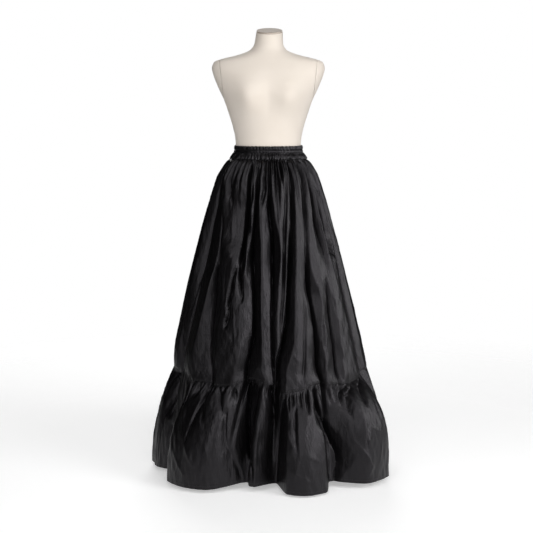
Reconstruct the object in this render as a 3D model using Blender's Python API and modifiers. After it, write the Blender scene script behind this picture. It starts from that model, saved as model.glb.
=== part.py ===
"""Gathered maxi skirt with a flounced hem tier, worn on a limbless dress form.

Metres, +Z up. The floor is z = 0, the stand's pole runs up the Z axis and the front faces -Y.
Angles are degrees round the body: 0 at the front, 90 at +X, 180 at the back, -90 at -X.
The cloth pieces are thin walls between an outer and an inner grid of points. A row of a grid
runs round the body, and the rows follow each other downwards.
"""

import math
import random

import bmesh
import bpy
import numpy as np
from mathutils import Vector

COLLECTION = "gathered_maxi_skirt"

# Driving dimensions.
WAIST_TOP_Z = 1.0830
CHANNEL_Z = 1.0605
CASING_Z = 1.0390
TIER_Z = 0.345
HEM_Z = 0.024
CLOTH = 0.0015
BAND_CLOTH = 0.0026
SEAM_GAP = 0.0003
FORM_CLEARANCE = 0.0004
GATHER_PITCH_DEG = 10.0
BAND_GATHERS = 56
BAND_GATHER_DEPTH = 0.0018

FORM_BOTTOM_Z = 0.780
NECK_ROOT_Z = 1.3937
NECK_TOP_Z = 1.4514
NECK_TILT = math.tan(math.radians(12.8))
NECK_CAP_HEIGHT = 0.005
NECK_CAP_INSET = 0.0010
NECK_SHIFT = 0.004
ARM_PLANE_X = 0.1525
ARM_PLANE_Z = 1.295
ARM_PLANE_LEAN = 0.10
ARM_LOW_Z = 1.205
SOCKET_RADIUS = 0.034
SOCKET_HEIGHT = 0.022
POLE_RADIUS = 0.014
BASE_RADIUS = 0.190
BASE_HEIGHT = 0.014
COLLAR_RADIUS = 0.030
COLLAR_HEIGHT = 0.030

# Outline of the skirt's body, on the crests of its folds.
# height, half width, depth in front, depth behind, how far its middle lies towards +X
SKIRT_SECTIONS = [
    (1.0390, 0.1290, 0.1030, 0.1030, -0.001),
    (1.0310, 0.1375, 0.1110, 0.1120, -0.001),
    (1.0213, 0.1450, 0.1180, 0.1195, -0.001),
    (1.0114, 0.1520, 0.1240, 0.1270, -0.001),
    (1.0014, 0.1580, 0.1300, 0.1335, -0.001),
    (0.9816, 0.1685, 0.1395, 0.1450, -0.002),
    (0.9418, 0.1820, 0.1525, 0.1610, -0.002),
    (0.9020, 0.1945, 0.1645, 0.1740, -0.002),
    (0.8220, 0.2170, 0.1860, 0.1960, -0.003),
    (0.7417, 0.2385, 0.2070, 0.2165, -0.002),
    (0.6610, 0.2590, 0.2265, 0.2355, -0.002),
    (0.5800, 0.2785, 0.2460, 0.2540, -0.001),
    (0.4985, 0.2975, 0.2650, 0.2715, 0.000),
    (0.4167, 0.3150, 0.2820, 0.2880, 0.001),
    (0.3757, 0.3215, 0.2885, 0.2945, 0.004),
    (0.3450, 0.3240, 0.2905, 0.2965, 0.007),
]

# The large folds of the body, each a valley that wanders down from the waist.
# angles at the waist, a third down, two thirds down and the tier; the depths there; width
BODY_FOLDS = [
    (-76, -73, -70, -73, 0.003, 0.008, 0.009, 0.006, 0.022),
    (-56, -52, -50, -58, 0.004, 0.017, 0.022, 0.018, 0.026),
    (-43, -46, -37, -33, 0.002, 0.012, 0.020, 0.026, 0.022),
    (-33, -30, -27, -25, 0.006, 0.004, 0.000, 0.000, 0.012),
    (-19, -18, -19, -22, 0.006, 0.016, 0.008, 0.002, 0.014),
    (-10, -9, -7, -5, 0.005, 0.016, 0.024, 0.032, 0.017),
    (1, 5, 4, 7, 0.005, 0.018, 0.016, 0.014, 0.012),
    (16, 14, 10, 8, 0.004, 0.010, 0.013, 0.010, 0.011),
    (33, 22, 16, 10, 0.005, 0.018, 0.022, 0.020, 0.015),
    (44, 36, 35, 33, 0.005, 0.014, 0.020, 0.024, 0.015),
    (61, 58, 51, 48, 0.005, 0.013, 0.015, 0.018, 0.018),
    (77, 75, 71, 69, 0.003, 0.007, 0.009, 0.008, 0.022),
    (103, 106, 110, 114, 0.005, 0.014, 0.018, 0.022, 0.020),
    (119, 122, 124, 128, 0.005, 0.009, 0.006, 0.004, 0.015),
    (134, 137, 139, 142, 0.005, 0.018, 0.024, 0.026, 0.020),
    (150, 152, 155, 158, 0.004, 0.011, 0.013, 0.010, 0.014),
    (165, 169, 172, 176, 0.005, 0.017, 0.022, 0.026, 0.018),
    (181, 183, 187, 191, 0.005, 0.012, 0.007, 0.003, 0.013),
    (197, 199, 204, 208, 0.005, 0.018, 0.023, 0.028, 0.020),
    (214, 217, 221, 226, 0.004, 0.012, 0.014, 0.010, 0.016),
    (231, 235, 239, 243, 0.005, 0.016, 0.020, 0.024, 0.022),
    (252, 252, 256, 257, 0.003, 0.008, 0.010, 0.010, 0.024),
]

# How far the tier's seam hangs below its height at the sides.
# angle, drop
SEAM_DROPS = [
    (-90, 0.000),
    (-60, -0.009),
    (-48, 0.012),
    (-30, 0.016),
    (-20, 0.007),
    (-10, -0.009),
    (1, 0.006),
    (9, 0.030),
    (17, 0.025),
    (26, 0.009),
    (35, 0.014),
    (48, 0.022),
    (60, 0.017),
    (74, 0.000),
    (90, 0.000),
    (112, 0.013),
    (140, -0.005),
    (163, 0.018),
    (190, 0.001),
    (218, 0.016),
    (244, 0.003),
]

# The lobes that the tier hangs in. A lobe starts at its valley and has a crest from one
# shoulder to the other.
# valley angle at the seam, at the hem, its radius; first shoulder's angle, radius;
# second shoulder's angle, radius; how far the lobe's hem hangs below the common hem; how
# steeply it swells out under the seam
TIER_LOBES = [
    (-113, -112, 0.345, -100, 0.384, -82, 0.386, 0.010, 2.1),
    (-58, -62, 0.335, -53, 0.408, -31, 0.402, 0.010, 2.3),
    (-6, -13, 0.300, -10.5, 0.336, -6, 0.332, 0.003, 1.9),
    (7, 5, 0.286, 9, 0.378, 26.5, 0.400, 0.016, 2.4),
    (33, 35, 0.345, 49, 0.434, 74, 0.388, 0.005, 3.9),
    (100, 101, 0.370, 111, 0.390, 128, 0.378, 0.004, 2.5),
    (139, 140, 0.315, 150, 0.384, 166, 0.388, 0.012, 2.3),
    (176, 178, 0.310, 187, 0.376, 203, 0.382, 0.002, 2.2),
    (208, 211, 0.316, 220, 0.386, 238, 0.388, 0.009, 2.3),
]

# Long soft folds inside the tier's lobes.
# angles at the seam and the hem; depths at the top, middle and hem; width
TIER_FOLDS = [
    (-76, -82, 0.004, 0.008, 0.007, 0.018),
    (-48, -49, 0.005, 0.007, 0.003, 0.018),
    (-36, -41, 0.008, 0.013, 0.012, 0.024),
    (-24, -27, 0.005, 0.010, 0.013, 0.022),
    (17, 15, 0.005, 0.006, 0.004, 0.016),
    (26, 22, 0.004, 0.008, 0.006, 0.018),
    (44, 47, 0.007, 0.012, 0.006, 0.018),
    (57, 61, 0.005, 0.008, 0.010, 0.022),
    (72, 71, 0.004, 0.006, 0.006, 0.018),
    (112, 116, 0.005, 0.010, 0.012, 0.022),
    (126, 122, 0.005, 0.007, 0.004, 0.018),
    (150, 154, 0.007, 0.012, 0.012, 0.024),
    (164, 166, 0.005, 0.008, 0.004, 0.018),
    (190, 194, 0.006, 0.012, 0.012, 0.024),
    (222, 226, 0.006, 0.011, 0.010, 0.022),
    (236, 233, 0.004, 0.006, 0.008, 0.018),
    (256, 252, 0.005, 0.008, 0.008, 0.022),
]

# The waistband's two gathered channels.
# height, how far the cloth stands out from the elastic, share of the gathers' depth
BAND_ROWS = [
    (WAIST_TOP_Z, 0.0018, 0.9),
    (1.0720, 0.0026, 1.0),
    (CHANNEL_Z, 0.0006, 0.2),
    (1.0500, 0.0046, 1.0),
    (CASING_Z + SEAM_GAP, 0.0062, 0.7),
]

# The dress form's sections.
# height, half width, depth in front, depth behind
FORM_SECTIONS = [
    (FORM_BOTTOM_Z, 0.1500, 0.1050, 0.1180),
    (0.8400, 0.1580, 0.1090, 0.1240),
    (0.9000, 0.1590, 0.1080, 0.1230),
    (0.9600, 0.1500, 0.1010, 0.1130),
    (1.0050, 0.1340, 0.0945, 0.1000),
    (CASING_Z + SEAM_GAP, 0.1182, 0.0895, 0.0915),
    (1.0500, 0.1140, 0.0878, 0.0888),
    (CHANNEL_Z, 0.1108, 0.0862, 0.0866),
    (1.0720, 0.1084, 0.0851, 0.0849),
    (WAIST_TOP_Z, 0.1073, 0.0844, 0.0840),
    (1.1102, 0.1095, 0.0850, 0.0838),
    (1.1397, 0.1157, 0.0880, 0.0850),
    (1.1790, 0.1274, 0.0930, 0.0900),
    (1.2183, 0.1406, 0.0980, 0.0970),
    (1.2378, 0.1480, 0.1005, 0.1005),
    (1.2574, 0.1576, 0.1020, 0.1040),
    (1.2867, 0.1705, 0.1010, 0.1080),
    (1.3159, 0.1813, 0.0930, 0.1080),
    (1.3354, 0.1851, 0.0840, 0.1030),
    (1.3549, 0.1777, 0.0720, 0.0930),
    (1.3646, 0.1536, 0.0660, 0.0860),
    (1.3743, 0.1123, 0.0600, 0.0780),
    (1.3840, 0.0802, 0.0550, 0.0690),
    (1.3937, 0.0597, 0.0500, 0.0600),
    (1.4131, 0.0472, 0.0460, 0.0520),
    (NECK_TOP_Z, 0.0432, 0.0440, 0.0450),
]
BUST_HEIGHT = 1.243
BUST_REACH = 0.074
BUST_SPREAD = 0.048
BUST_RISE = 0.056
BUST_DEPTH = 0.028
BLADE_DEPTH = 0.008

# Where the walls have their rows, as shares of the way down the piece.
BODY_ROWS = [0, 0.022, 0.065, 0.13, 0.22, 0.35, 0.50, 0.67, 0.84, 1.0]
TIER_ROWS = [0, 0.05, 0.13, 0.26, 0.42, 0.60, 0.80, 1.0]
FORM_COLUMNS = 32

# Colour, roughness and metallic value of each material.
TAFFETA = ("black_taffeta", (0.012, 0.012, 0.013), 0.42, 0.0)
LINEN = ("cream_linen", (0.80, 0.74, 0.66), 0.85, 0.0)
CAP_PAINT = ("neck_cap_grey", (0.47, 0.38, 0.30), 0.55, 0.0)
STEEL = ("painted_steel", (0.05, 0.05, 0.05), 0.40, 0.6)


def column(table, index):
    """One column of a table as an array."""
    return np.array([row[index] for row in table], dtype=float)


def steady_slopes(knots, values):
    """Slopes that keep a curve between its neighbouring values: level at each peak and dip."""
    rise = np.diff(values) / np.diff(knots)
    same_way = rise[:-1] * rise[1:]
    total = np.where(same_way > 0, rise[:-1] + rise[1:], 1.0)
    inner = np.where(same_way > 0, 2 * same_way / total, 0.0)
    return np.concatenate([rise[:1], inner, rise[-1:]])


def smooth(x, knots, values):
    """A smooth curve through the values at the rising knots, held at both ends."""
    x = np.clip(np.asarray(x, dtype=float), knots[0], knots[-1])
    slopes = steady_slopes(knots, values)
    i = np.clip(np.searchsorted(knots, x, side="right") - 1, 0, len(knots) - 2)
    step = knots[i + 1] - knots[i]
    f = (x - knots[i]) / step
    from_start = values[i] * (1 + 2 * f) * (1 - f) ** 2 + slopes[i] * step * f * (1 - f) ** 2
    from_end = values[i + 1] * f * f * (3 - 2 * f) - slopes[i + 1] * step * f * f * (1 - f)
    return from_start + from_end


def smooth_round(angle, knots, values):
    """The same curve round the body, where 360 degrees meets 0."""
    turns = [-360, 0, 360]
    all_knots = np.concatenate([knots + turn for turn in turns])
    all_values = np.concatenate([values] * len(turns))
    return smooth((angle + 180) % 360 - 180, all_knots, all_values)


def turned(angle):
    """An angle difference brought to within half a turn."""
    return (angle + 180) % 360 - 180


def valley(distance, width):
    """A fold's cross-section: 1 in a narrow bottom, and rounding out to 0 on both sides."""
    tip = 0.25 * width
    return np.exp(-(np.hypot(distance, tip) - tip) / width)


def gather_angles():
    """The valleys of the body's gathers, with one where each large fold and side seam starts."""
    rng = random.Random(11)
    starts = sorted(turned(row[0]) for row in BODY_FOLDS) + [-90, 90]
    starts = sorted(starts)
    angles = []
    for start, end in zip(starts, starts[1:] + [starts[0] + 360]):
        count = max(1, round((end - start) / GATHER_PITCH_DEG))
        widths = [rng.uniform(0.7, 1.3) for _ in range(count)]
        place = start
        for width in widths:
            angles.append(place)
            place += (end - start) * width / sum(widths)
    return np.array(angles)


GATHERS = gather_angles()
_rng = random.Random(5)
GATHER_DEPTHS = np.array([_rng.uniform(0.55, 1.0) for _ in GATHERS])
GATHER_REACH = np.array([_rng.uniform(0.10, 0.34) for _ in GATHERS])
TIER_GATHER_DEPTHS = np.array([_rng.uniform(0.5, 1.0) for _ in range(2 * len(GATHERS))])
TIER_GATHER_REACH = np.array([_rng.uniform(0.14, 0.50) for _ in range(2 * len(GATHERS))])
BODY_GATHER_DEPTH = 0.0065
TIER_GATHER_DEPTH = 0.0085
CREST_BULGE = 0.008
VALLEY_SWELL = 1.25


def gather_phase(angle):
    """Counts the gathers round the body: a whole number lies in a valley."""
    knots = np.append(GATHERS, GATHERS[0] + 360)
    return np.interp((angle - knots[0]) % 360, knots - knots[0], np.arange(len(knots)))


def groove(phase):
    """A gather's cross-section: 1 in a sharp valley and 0 on a rounded crest."""
    return (1 - np.abs(np.sin(math.pi * phase))) ** 2


def oval(angle, half_width, front, behind):
    """A point of an oval section that is deeper behind than in front."""
    a = np.radians(angle)
    depth = np.where(np.cos(a) > 0, front, behind)
    return half_width * np.sin(a), -depth * np.cos(a)


def skirt_oval(angle, z):
    """A point of the skirt's outline at a height."""
    heights = column(SKIRT_SECTIONS, 0)[::-1]
    *sizes, middle = [smooth(z, heights, column(SKIRT_SECTIONS, i)[::-1]) for i in (1, 2, 3, 4)]
    x, y = oval(angle, *sizes)
    return x + middle, y


def seam_height(angle):
    """The tier's seam, higher at the sides than on the lobes."""
    return TIER_Z - smooth_round(angle, column(SEAM_DROPS, 0), column(SEAM_DROPS, 1))


def body_inset(angle, down, radius):
    """How far the folds and gathers of the body lie in from its outline."""
    stations = np.array([0, 1 / 3, 2 / 3, 1])
    inset = np.zeros(np.broadcast(angle, down).shape)
    for fold in BODY_FOLDS:
        place = smooth(down, stations, np.array(fold[0:4], dtype=float))
        depth = np.maximum(smooth(down, stations, np.array(fold[4:8])), 0)
        spread = fold[8] * (0.45 + 0.75 * down)
        away = np.radians(turned(angle - place)) * radius
        inset = inset + depth * valley(away, spread)
    phase = gather_phase(angle)
    i = np.round(phase).astype(int) % len(GATHERS)
    rise = np.minimum(1, 0.35 + down / 0.05)
    fade = np.exp(-(down / GATHER_REACH[i]) ** 2)
    return inset + BODY_GATHER_DEPTH * GATHER_DEPTHS[i] * rise * fade * groove(phase)


def body_point(angle, down):
    """A point of the body's outer surface, from 0 at the casing to 1 at the tier's seam."""
    top = CASING_Z - SEAM_GAP / 2
    z = top + (seam_height(angle) + SEAM_GAP / 2 - top) * down
    x, y = skirt_oval(angle, z)
    radius = np.hypot(x, y)
    scale = 1 - body_inset(angle, down, radius) / radius
    return x * scale, y * scale, z


def lobe_knots():
    """The valleys, shoulders and crests: seam angle, hem angle, radius, drop and swell."""
    knots = []
    nexts = TIER_LOBES[1:] + [TIER_LOBES[0]]
    for lobe, following in zip(TIER_LOBES, nexts):
        seam, hem, radius, first, first_radius, second, second_radius, drop, swell = lobe
        seam_span = (following[0] - seam) % 360
        hem_span = (following[1] - hem) % 360
        knots.append((seam, hem, radius, 0.4 * drop, VALLEY_SWELL))
        crest = (first + second) / 2
        crest_radius = max(first_radius, second_radius) + CREST_BULGE
        line = ((first, first_radius), (crest, crest_radius), (second, second_radius))
        for shoulder, radius in line:
            share = ((shoulder - hem) % 360) / hem_span
            knots.append((seam + share * seam_span, hem + share * hem_span, radius, drop, swell))
    return knots


LOBE_KNOTS = lobe_knots()


def hem_point(angle):
    """The hem's plan and height below a point of the seam."""
    seam = column(LOBE_KNOTS, 0)
    turn = smooth_round(angle, seam, column(LOBE_KNOTS, 1) - seam)
    radius = smooth_round(angle, seam, column(LOBE_KNOTS, 2))
    drop = smooth_round(angle, seam, column(LOBE_KNOTS, 3))
    a = np.radians(angle + turn)
    return radius * np.sin(a), -radius * np.cos(a), HEM_Z - drop


def tier_inset(angle, down, radius):
    """How far the tier's folds and gathers lie in from its lobes."""
    stations = np.array([0, 0.5, 1])
    inset = np.zeros(np.broadcast(angle, down).shape)
    for fold in TIER_FOLDS:
        place = fold[0] + (fold[1] - fold[0]) * down
        depth = smooth(down, stations, np.array(fold[2:5]))
        away = np.radians(turned(angle - place)) * radius
        inset = inset + depth * np.minimum(1, down / 0.08) * valley(away, fold[5])
    phase = 2 * gather_phase(angle)
    i = np.round(phase).astype(int) % (2 * len(GATHERS))
    rise = np.minimum(1, down / 0.10)
    fade = np.exp(-(down / TIER_GATHER_REACH[i]) ** 2)
    return inset + TIER_GATHER_DEPTH * TIER_GATHER_DEPTHS[i] * rise * fade * groove(phase)


def tier_point(angle, down):
    """A point of the tier's outer surface, from 0 at its seam to 1 at the hem."""
    seam_x, seam_y, _ = body_point(angle, np.ones_like(angle))
    hem_x, hem_y, hem_z = hem_point(angle)
    swell = smooth_round(angle, column(LOBE_KNOTS, 0), column(LOBE_KNOTS, 4))
    out = 1 - (1 - down) ** swell
    x = seam_x + (hem_x - seam_x) * out
    y = seam_y + (hem_y - seam_y) * out
    top = seam_height(angle) - SEAM_GAP / 2
    z = top + (hem_z - top) * down
    radius = np.hypot(x, y)
    scale = 1 - tier_inset(angle, down, radius) / radius
    return x * scale, y * scale, z


def form_point(angle, z, outward=0.0):
    """A point of the dress form's skin, or of an oval that much outside it."""
    heights = column(FORM_SECTIONS, 0)
    sizes = [np.interp(z, heights, column(FORM_SECTIONS, i)) for i in (1, 2, 3)]
    x, y = oval(angle, *(size + outward for size in sizes))
    side = np.exp(-((np.abs(x) - BUST_REACH) / BUST_SPREAD) ** 2)
    bust = BUST_DEPTH * side * np.exp(-((z - BUST_HEIGHT) / BUST_RISE) ** 2)
    blade = BLADE_DEPTH * side * np.exp(-((z - BUST_HEIGHT - 0.04) / (1.5 * BUST_RISE)) ** 2)
    facing = np.cos(np.radians(angle))
    y = y - bust * np.clip(facing, 0, 1) ** 0.5 + blade * np.clip(-facing, 0, 1) ** 0.5
    return x, y, z


def two_sides(point, angles, downs, thickness):
    """The outer grid of a wall, and the inner grid that lies a cloth's thickness inside it."""
    angle, down = np.meshgrid(angles, downs)
    outer = np.stack(np.broadcast_arrays(*point(angle, down)), axis=-1)
    step = 0.4
    before = np.stack(np.broadcast_arrays(*point(angle - step, down)), axis=-1)
    after = np.stack(np.broadcast_arrays(*point(angle + step, down)), axis=-1)
    along = after - before
    length = np.hypot(along[..., 0], along[..., 1])
    inner = outer.copy()
    inner[..., 0] -= thickness * along[..., 1] / length
    inner[..., 1] += thickness * along[..., 0] / length
    return outer, inner


def wall(name, outer, inner, material, closed):
    """One closed wall between two grids, its quads cut the same way on both sides."""
    rows, columns = outer.shape[:2]
    count = rows * columns
    points = np.concatenate([outer.reshape(-1, 3), inner.reshape(-1, 3)])
    faces = []

    def quad(a, b, c, d):
        faces.extend([(a, b, c), (a, c, d)])

    for j in range(columns if closed else columns - 1):
        k = (j + 1) % columns
        for i in range(rows - 1):
            a, b = i * columns + j, (i + 1) * columns + j
            c, d = (i + 1) * columns + k, i * columns + k
            shorter = np.linalg.norm(points[a] - points[c]) <= np.linalg.norm(points[b] - points[d])
            if shorter:
                quad(a, b, c, d)
                quad(count + c, count + b, count + a, count + d)
            else:
                quad(b, c, d, a)
                quad(count + d, count + c, count + b, count + a)
        last = (rows - 1) * columns
        quad(j, k, count + k, count + j)
        quad(last + k, last + j, count + last + j, count + last + k)
    if not closed:
        for i in range(rows - 1):
            a, b = i * columns, (i + 1) * columns
            quad(a, count + a, count + b, b)
            a, b = a + columns - 1, b + columns - 1
            quad(b, count + b, count + a, a)
    return mesh_object(name, points.tolist(), faces, material)


def mesh_object(name, points, faces, material):
    """A smooth-shaded object from points and faces."""
    mesh = bpy.data.meshes.new(name)
    mesh.from_pydata(points, [], faces)
    piece = bpy.data.objects.new(name, mesh)
    bpy.data.collections[COLLECTION].objects.link(piece)
    mesh.shade_smooth()
    mesh.set_sharp_from_angle(angle=math.radians(50))
    mesh.materials.append(material)
    return piece


def make_material(spec):
    """A Principled material from its name, colour, roughness and metallic value."""
    name, colour, roughness, metallic = spec
    material = bpy.data.materials.new(name)
    material.use_nodes = True
    shader = material.node_tree.nodes["Principled BSDF"]
    shader.inputs["Base Color"].default_value = (*colour, 1.0)
    shader.inputs["Roughness"].default_value = roughness
    shader.inputs["Metallic"].default_value = metallic
    return material


def cloth_angles(front):
    """Four columns to a gather, from one side seam to the other."""
    phases = np.arange(4 * len(GATHERS)) / 4
    knots = np.append(GATHERS, GATHERS[0] + 360)
    angles = np.interp(phases, np.arange(len(knots)), knots)
    start = -90 if front else 90
    half = np.sort((angles - start) % 360)
    half = half[half < 180 - 1e-6]
    return start + np.append(half, 180)


def make_half(side, front, material):
    """The front or back of the body and of the tier, which hangs from the body's last row."""
    angles = cloth_angles(front)
    body = two_sides(body_point, angles, np.array(BODY_ROWS), CLOTH)
    tier = two_sides(tier_point, angles, np.array(TIER_ROWS), CLOTH)
    aside = -SEAM_GAP / 2 if front else SEAM_GAP / 2
    for body_grid, tier_grid in zip(body, tier):
        tier_grid[0] = body_grid[-1] - np.array([0, 0, SEAM_GAP])
        body_grid[:, [0, -1], 1] = aside
        tier_grid[:, [0, -1], 1] = aside
    wall(f"skirt_{side}", *body, material, closed=False)
    wall(f"hem_tier_{side}", *tier, material, closed=False)


def make_waistband(material):
    """The elastic waistband: a plain inside on the form, two gathered channels outside."""
    rng = random.Random(21)
    columns = 2 * BAND_GATHERS
    angles = 360 * (np.arange(columns) + np.array([rng.uniform(-0.3, 0.3) for _ in range(columns)]))
    angles = angles / columns
    outer = np.zeros((len(BAND_ROWS), columns, 3))
    inner = np.zeros_like(outer)
    depth = np.array([rng.uniform(0.5, 1.0) for _ in range(columns)])
    for i, (z, puff, share) in enumerate(BAND_ROWS):
        odd = (np.arange(columns) + (i > 2)) % 2
        crest = BAND_GATHER_DEPTH * share * depth * odd
        inner[i] = np.stack(np.broadcast_arrays(*form_point(angles, z, FORM_CLEARANCE)), axis=-1)
        reach = FORM_CLEARANCE + BAND_CLOTH + puff + crest
        outer[i] = np.stack(np.broadcast_arrays(*form_point(angles, z, reach)), axis=-1)
    return wall("waistband", outer, inner, material, closed=True)


def form_rings():
    """The rings of the dress form from its bottom to its neck."""
    angles = 360 * np.arange(FORM_COLUMNS) / FORM_COLUMNS
    rings = []
    for z, *_ in FORM_SECTIONS:
        x, y, _ = form_point(angles, z)
        share = np.clip((z - NECK_ROOT_Z) / (NECK_TOP_Z - NECK_ROOT_Z), 0, 1)
        heights = z + NECK_TILT * share * y
        rings.append(np.stack([x + NECK_SHIFT * share, y, heights], axis=-1))
    return rings


def loft(name, rings, material):
    """A closed body through rings, each with as many points as the next, bottom to top."""
    points = np.concatenate(rings).tolist()
    columns = len(rings[0])
    faces = [tuple(reversed(range(columns)))]
    for i in range(len(rings) - 1):
        for j in range(columns):
            k = (j + 1) % columns
            low, high = i * columns, (i + 1) * columns
            faces.append((low + j, low + k, high + k, high + j))
    faces.append(tuple(range((len(rings) - 1) * columns, len(rings) * columns)))
    return mesh_object(name, points, faces, material)


def cut(piece, point, normal, above=0.0):
    """Cuts away what lies on the normal's side of a plane, above a height, and closes the cut."""
    bm = bmesh.new()
    bm.from_mesh(piece.data)
    verts = [vert for vert in bm.verts if vert.co.z > above]
    edges = [edge for edge in bm.edges if all(vert.co.z > above for vert in edge.verts)]
    faces = [face for face in bm.faces if all(vert.co.z > above for vert in face.verts)]
    geometry = verts + edges + faces
    bmesh.ops.bisect_plane(
        bm, geom=geometry, dist=1e-6, plane_co=point, plane_no=normal, clear_outer=True
    )
    rim = [edge for edge in bm.edges if edge.is_boundary]
    bmesh.ops.holes_fill(bm, edges=rim, sides=0)
    bmesh.ops.recalc_face_normals(bm, faces=bm.faces)
    bm.to_mesh(piece.data)
    bm.free()


def make_form(linen):
    """The torso, and the arm plates that close its armholes."""
    rings = form_rings()
    torso = loft("form_torso", rings, linen)
    for name, side in (("form_armplate_left", 1), ("form_armplate_right", -1)):
        plate = loft(name, rings, linen)
        normal = Vector((side, 0, -ARM_PLANE_LEAN)).normalized()
        place = Vector((side * ARM_PLANE_X, 0, ARM_PLANE_Z))
        cut(plate, Vector((0, 0, ARM_LOW_Z)), Vector((0, 0, -1)))
        cut(plate, place + normal * SEAM_GAP / 2, -normal)
        cut(torso, place - normal * SEAM_GAP / 2, normal, above=ARM_LOW_Z)


def make_neck_cap(material):
    """The flat cap on the slanted neck."""
    top_ring = form_rings()[-1]
    centre = top_ring.mean(axis=0)
    inset = 1 - NECK_CAP_INSET / np.ptp(top_ring[:, 0]) * 2
    low = centre + (top_ring - centre) * inset + np.array([0, 0, SEAM_GAP])
    high = low + np.array([0, 0, NECK_CAP_HEIGHT])
    return loft("form_neck_cap", [low, high], material)


def turned_piece(name, profile, material, steps=36):
    """A solid turned round the Z axis from its outline, top to bottom."""
    mesh = bpy.data.meshes.new(name)
    edges = [(i, i + 1) for i in range(len(profile) - 1)]
    mesh.from_pydata([(radius, 0, z) for radius, z in profile], edges, [])
    piece = bpy.data.objects.new(name, mesh)
    bpy.data.collections[COLLECTION].objects.link(piece)
    screw = piece.modifiers.new("turn", "SCREW")
    screw.steps = steps
    screw.render_steps = steps
    screw.use_merge_vertices = True
    screw.merge_threshold = 0.00001
    mesh.materials.append(material)
    return piece


def make_stand(steel):
    """The socket under the torso, the pole, and the weighted round base on the floor."""
    socket_low = FORM_BOTTOM_Z - SEAM_GAP - SOCKET_HEIGHT
    turned_piece(
        "form_socket",
        [(0, socket_low + SOCKET_HEIGHT), (SOCKET_RADIUS, socket_low + SOCKET_HEIGHT),
         (SOCKET_RADIUS, socket_low + 0.004), (SOCKET_RADIUS - 0.006, socket_low), (0, socket_low)],
        steel,
        steps=32,
    )
    collar_top = BASE_HEIGHT + COLLAR_HEIGHT
    turned_piece(
        "form_pole",
        [(0, socket_low - SEAM_GAP), (POLE_RADIUS, socket_low - SEAM_GAP),
         (POLE_RADIUS, collar_top + SEAM_GAP), (0, collar_top + SEAM_GAP)],
        steel,
        steps=24,
    )
    turned_piece(
        "form_base",
        [(0, collar_top), (COLLAR_RADIUS - 0.004, collar_top), (COLLAR_RADIUS, collar_top - 0.004),
         (COLLAR_RADIUS + 0.002, BASE_HEIGHT), (BASE_RADIUS - 0.006, BASE_HEIGHT - 0.003),
         (BASE_RADIUS, BASE_HEIGHT - 0.008), (BASE_RADIUS, 0), (0, 0)],
        steel,
    )


def main():
    for old in list(bpy.data.objects):
        bpy.data.objects.remove(old)
    collection = bpy.data.collections.new(COLLECTION)
    bpy.context.scene.collection.children.link(collection)
    taffeta = make_material(TAFFETA)
    make_waistband(taffeta)
    make_half("front", True, taffeta)
    make_half("back", False, taffeta)
    make_form(make_material(LINEN))
    make_neck_cap(make_material(CAP_PAINT))
    make_stand(make_material(STEEL))


main()
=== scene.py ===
"""Looks of the gathered maxi skirt with a flounced hem tier on its dress form.

Metres, +Z up, front at -Y. Angles are degrees round the body: 0 at the front, 90 at +X.
A cloth piece is a grid of points: rows run round the body and follow each other downwards,
and "down" is the share of the way down a piece, from 0 at its top to 1 at its lower edge.
"""

import math
import random

import bmesh
import bpy
import numpy as np
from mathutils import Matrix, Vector


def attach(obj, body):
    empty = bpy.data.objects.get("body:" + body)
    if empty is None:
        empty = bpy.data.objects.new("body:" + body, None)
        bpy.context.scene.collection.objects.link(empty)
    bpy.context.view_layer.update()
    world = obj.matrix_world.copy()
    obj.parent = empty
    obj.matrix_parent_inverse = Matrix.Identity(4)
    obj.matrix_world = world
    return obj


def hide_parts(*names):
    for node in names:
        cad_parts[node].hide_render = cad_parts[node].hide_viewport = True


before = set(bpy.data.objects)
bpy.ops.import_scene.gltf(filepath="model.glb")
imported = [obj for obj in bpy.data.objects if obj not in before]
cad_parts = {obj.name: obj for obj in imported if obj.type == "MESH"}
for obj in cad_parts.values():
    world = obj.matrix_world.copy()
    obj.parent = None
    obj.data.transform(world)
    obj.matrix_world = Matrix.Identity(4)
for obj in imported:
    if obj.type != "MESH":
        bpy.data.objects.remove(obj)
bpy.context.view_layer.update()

# Camera and the photograph's frame.
CAMERA_PLACE = (-0.006, -4.5, 1.26)
CAMERA_PITCH = 7.35
FOCAL_PIXELS = 1359
FRAME_PIXELS = 533
SENSOR_MM = 36
CLIP_END = 60

# The floor, the backdrop and the soft lights.
FLOOR_RADIUS = 2.6
FLOOR_FADES_FROM = 0.9
FLOOR_GLOW = 0.39
BACKDROP_RADIUS = 25
SURROUNDING_LIGHT = 0.010
# name, place, what it points at, width, height, power
LIGHTS = [
    ("key", (3.0, -2.5, 1.8), (0, 0, 0.75), 2.0, 3.0, 106),
    ("fill", (-0.6, -4.9, 2.5), (0, 0, 0.75), 3.7, 4.0, 113),
    ("top", (0.4, -2.3, 3.7), (0, 0, 1.0), 2.4, 1.5, 22),
    ("left", (-3.2, -3.0, 1.9), (0, 0, 0.9), 2.4, 3.0, 34),
    ("back", (-0.6, 4.8, 2.4), (0, 0, 0.9), 3.4, 3.0, 125),
    ("sheen_right", (3.4, 0.2, 1.6), (0, 0, 0.75), 1.4, 2.4, 52),
]

MM_PER_M = 1000

# Heights and cloth sizes, as in the part's source.
WAIST_TOP_Z = 1.0830
CHANNEL_Z = 1.0605
CASING_Z = 1.0390
TIER_Z = 0.345
HEM_Z = 0.024
SEAM_GAP = 0.0003
CLOTH = 0.0010
CREST_BULGE = 0.008
VALLEY_SWELL = 1.25

# How round a fold's valley and crests are, as shares of its width, and the narrow slit that
# each fold closes to in its valley.
FOLD_VALLEY_SOFT = 0.05
FOLD_CREST_SOFT = 0.06
SLIT_SHARE = 0.8
SLIT_DEPTH = 0.011
SLIT_WIDTH = 0.0065

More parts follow.
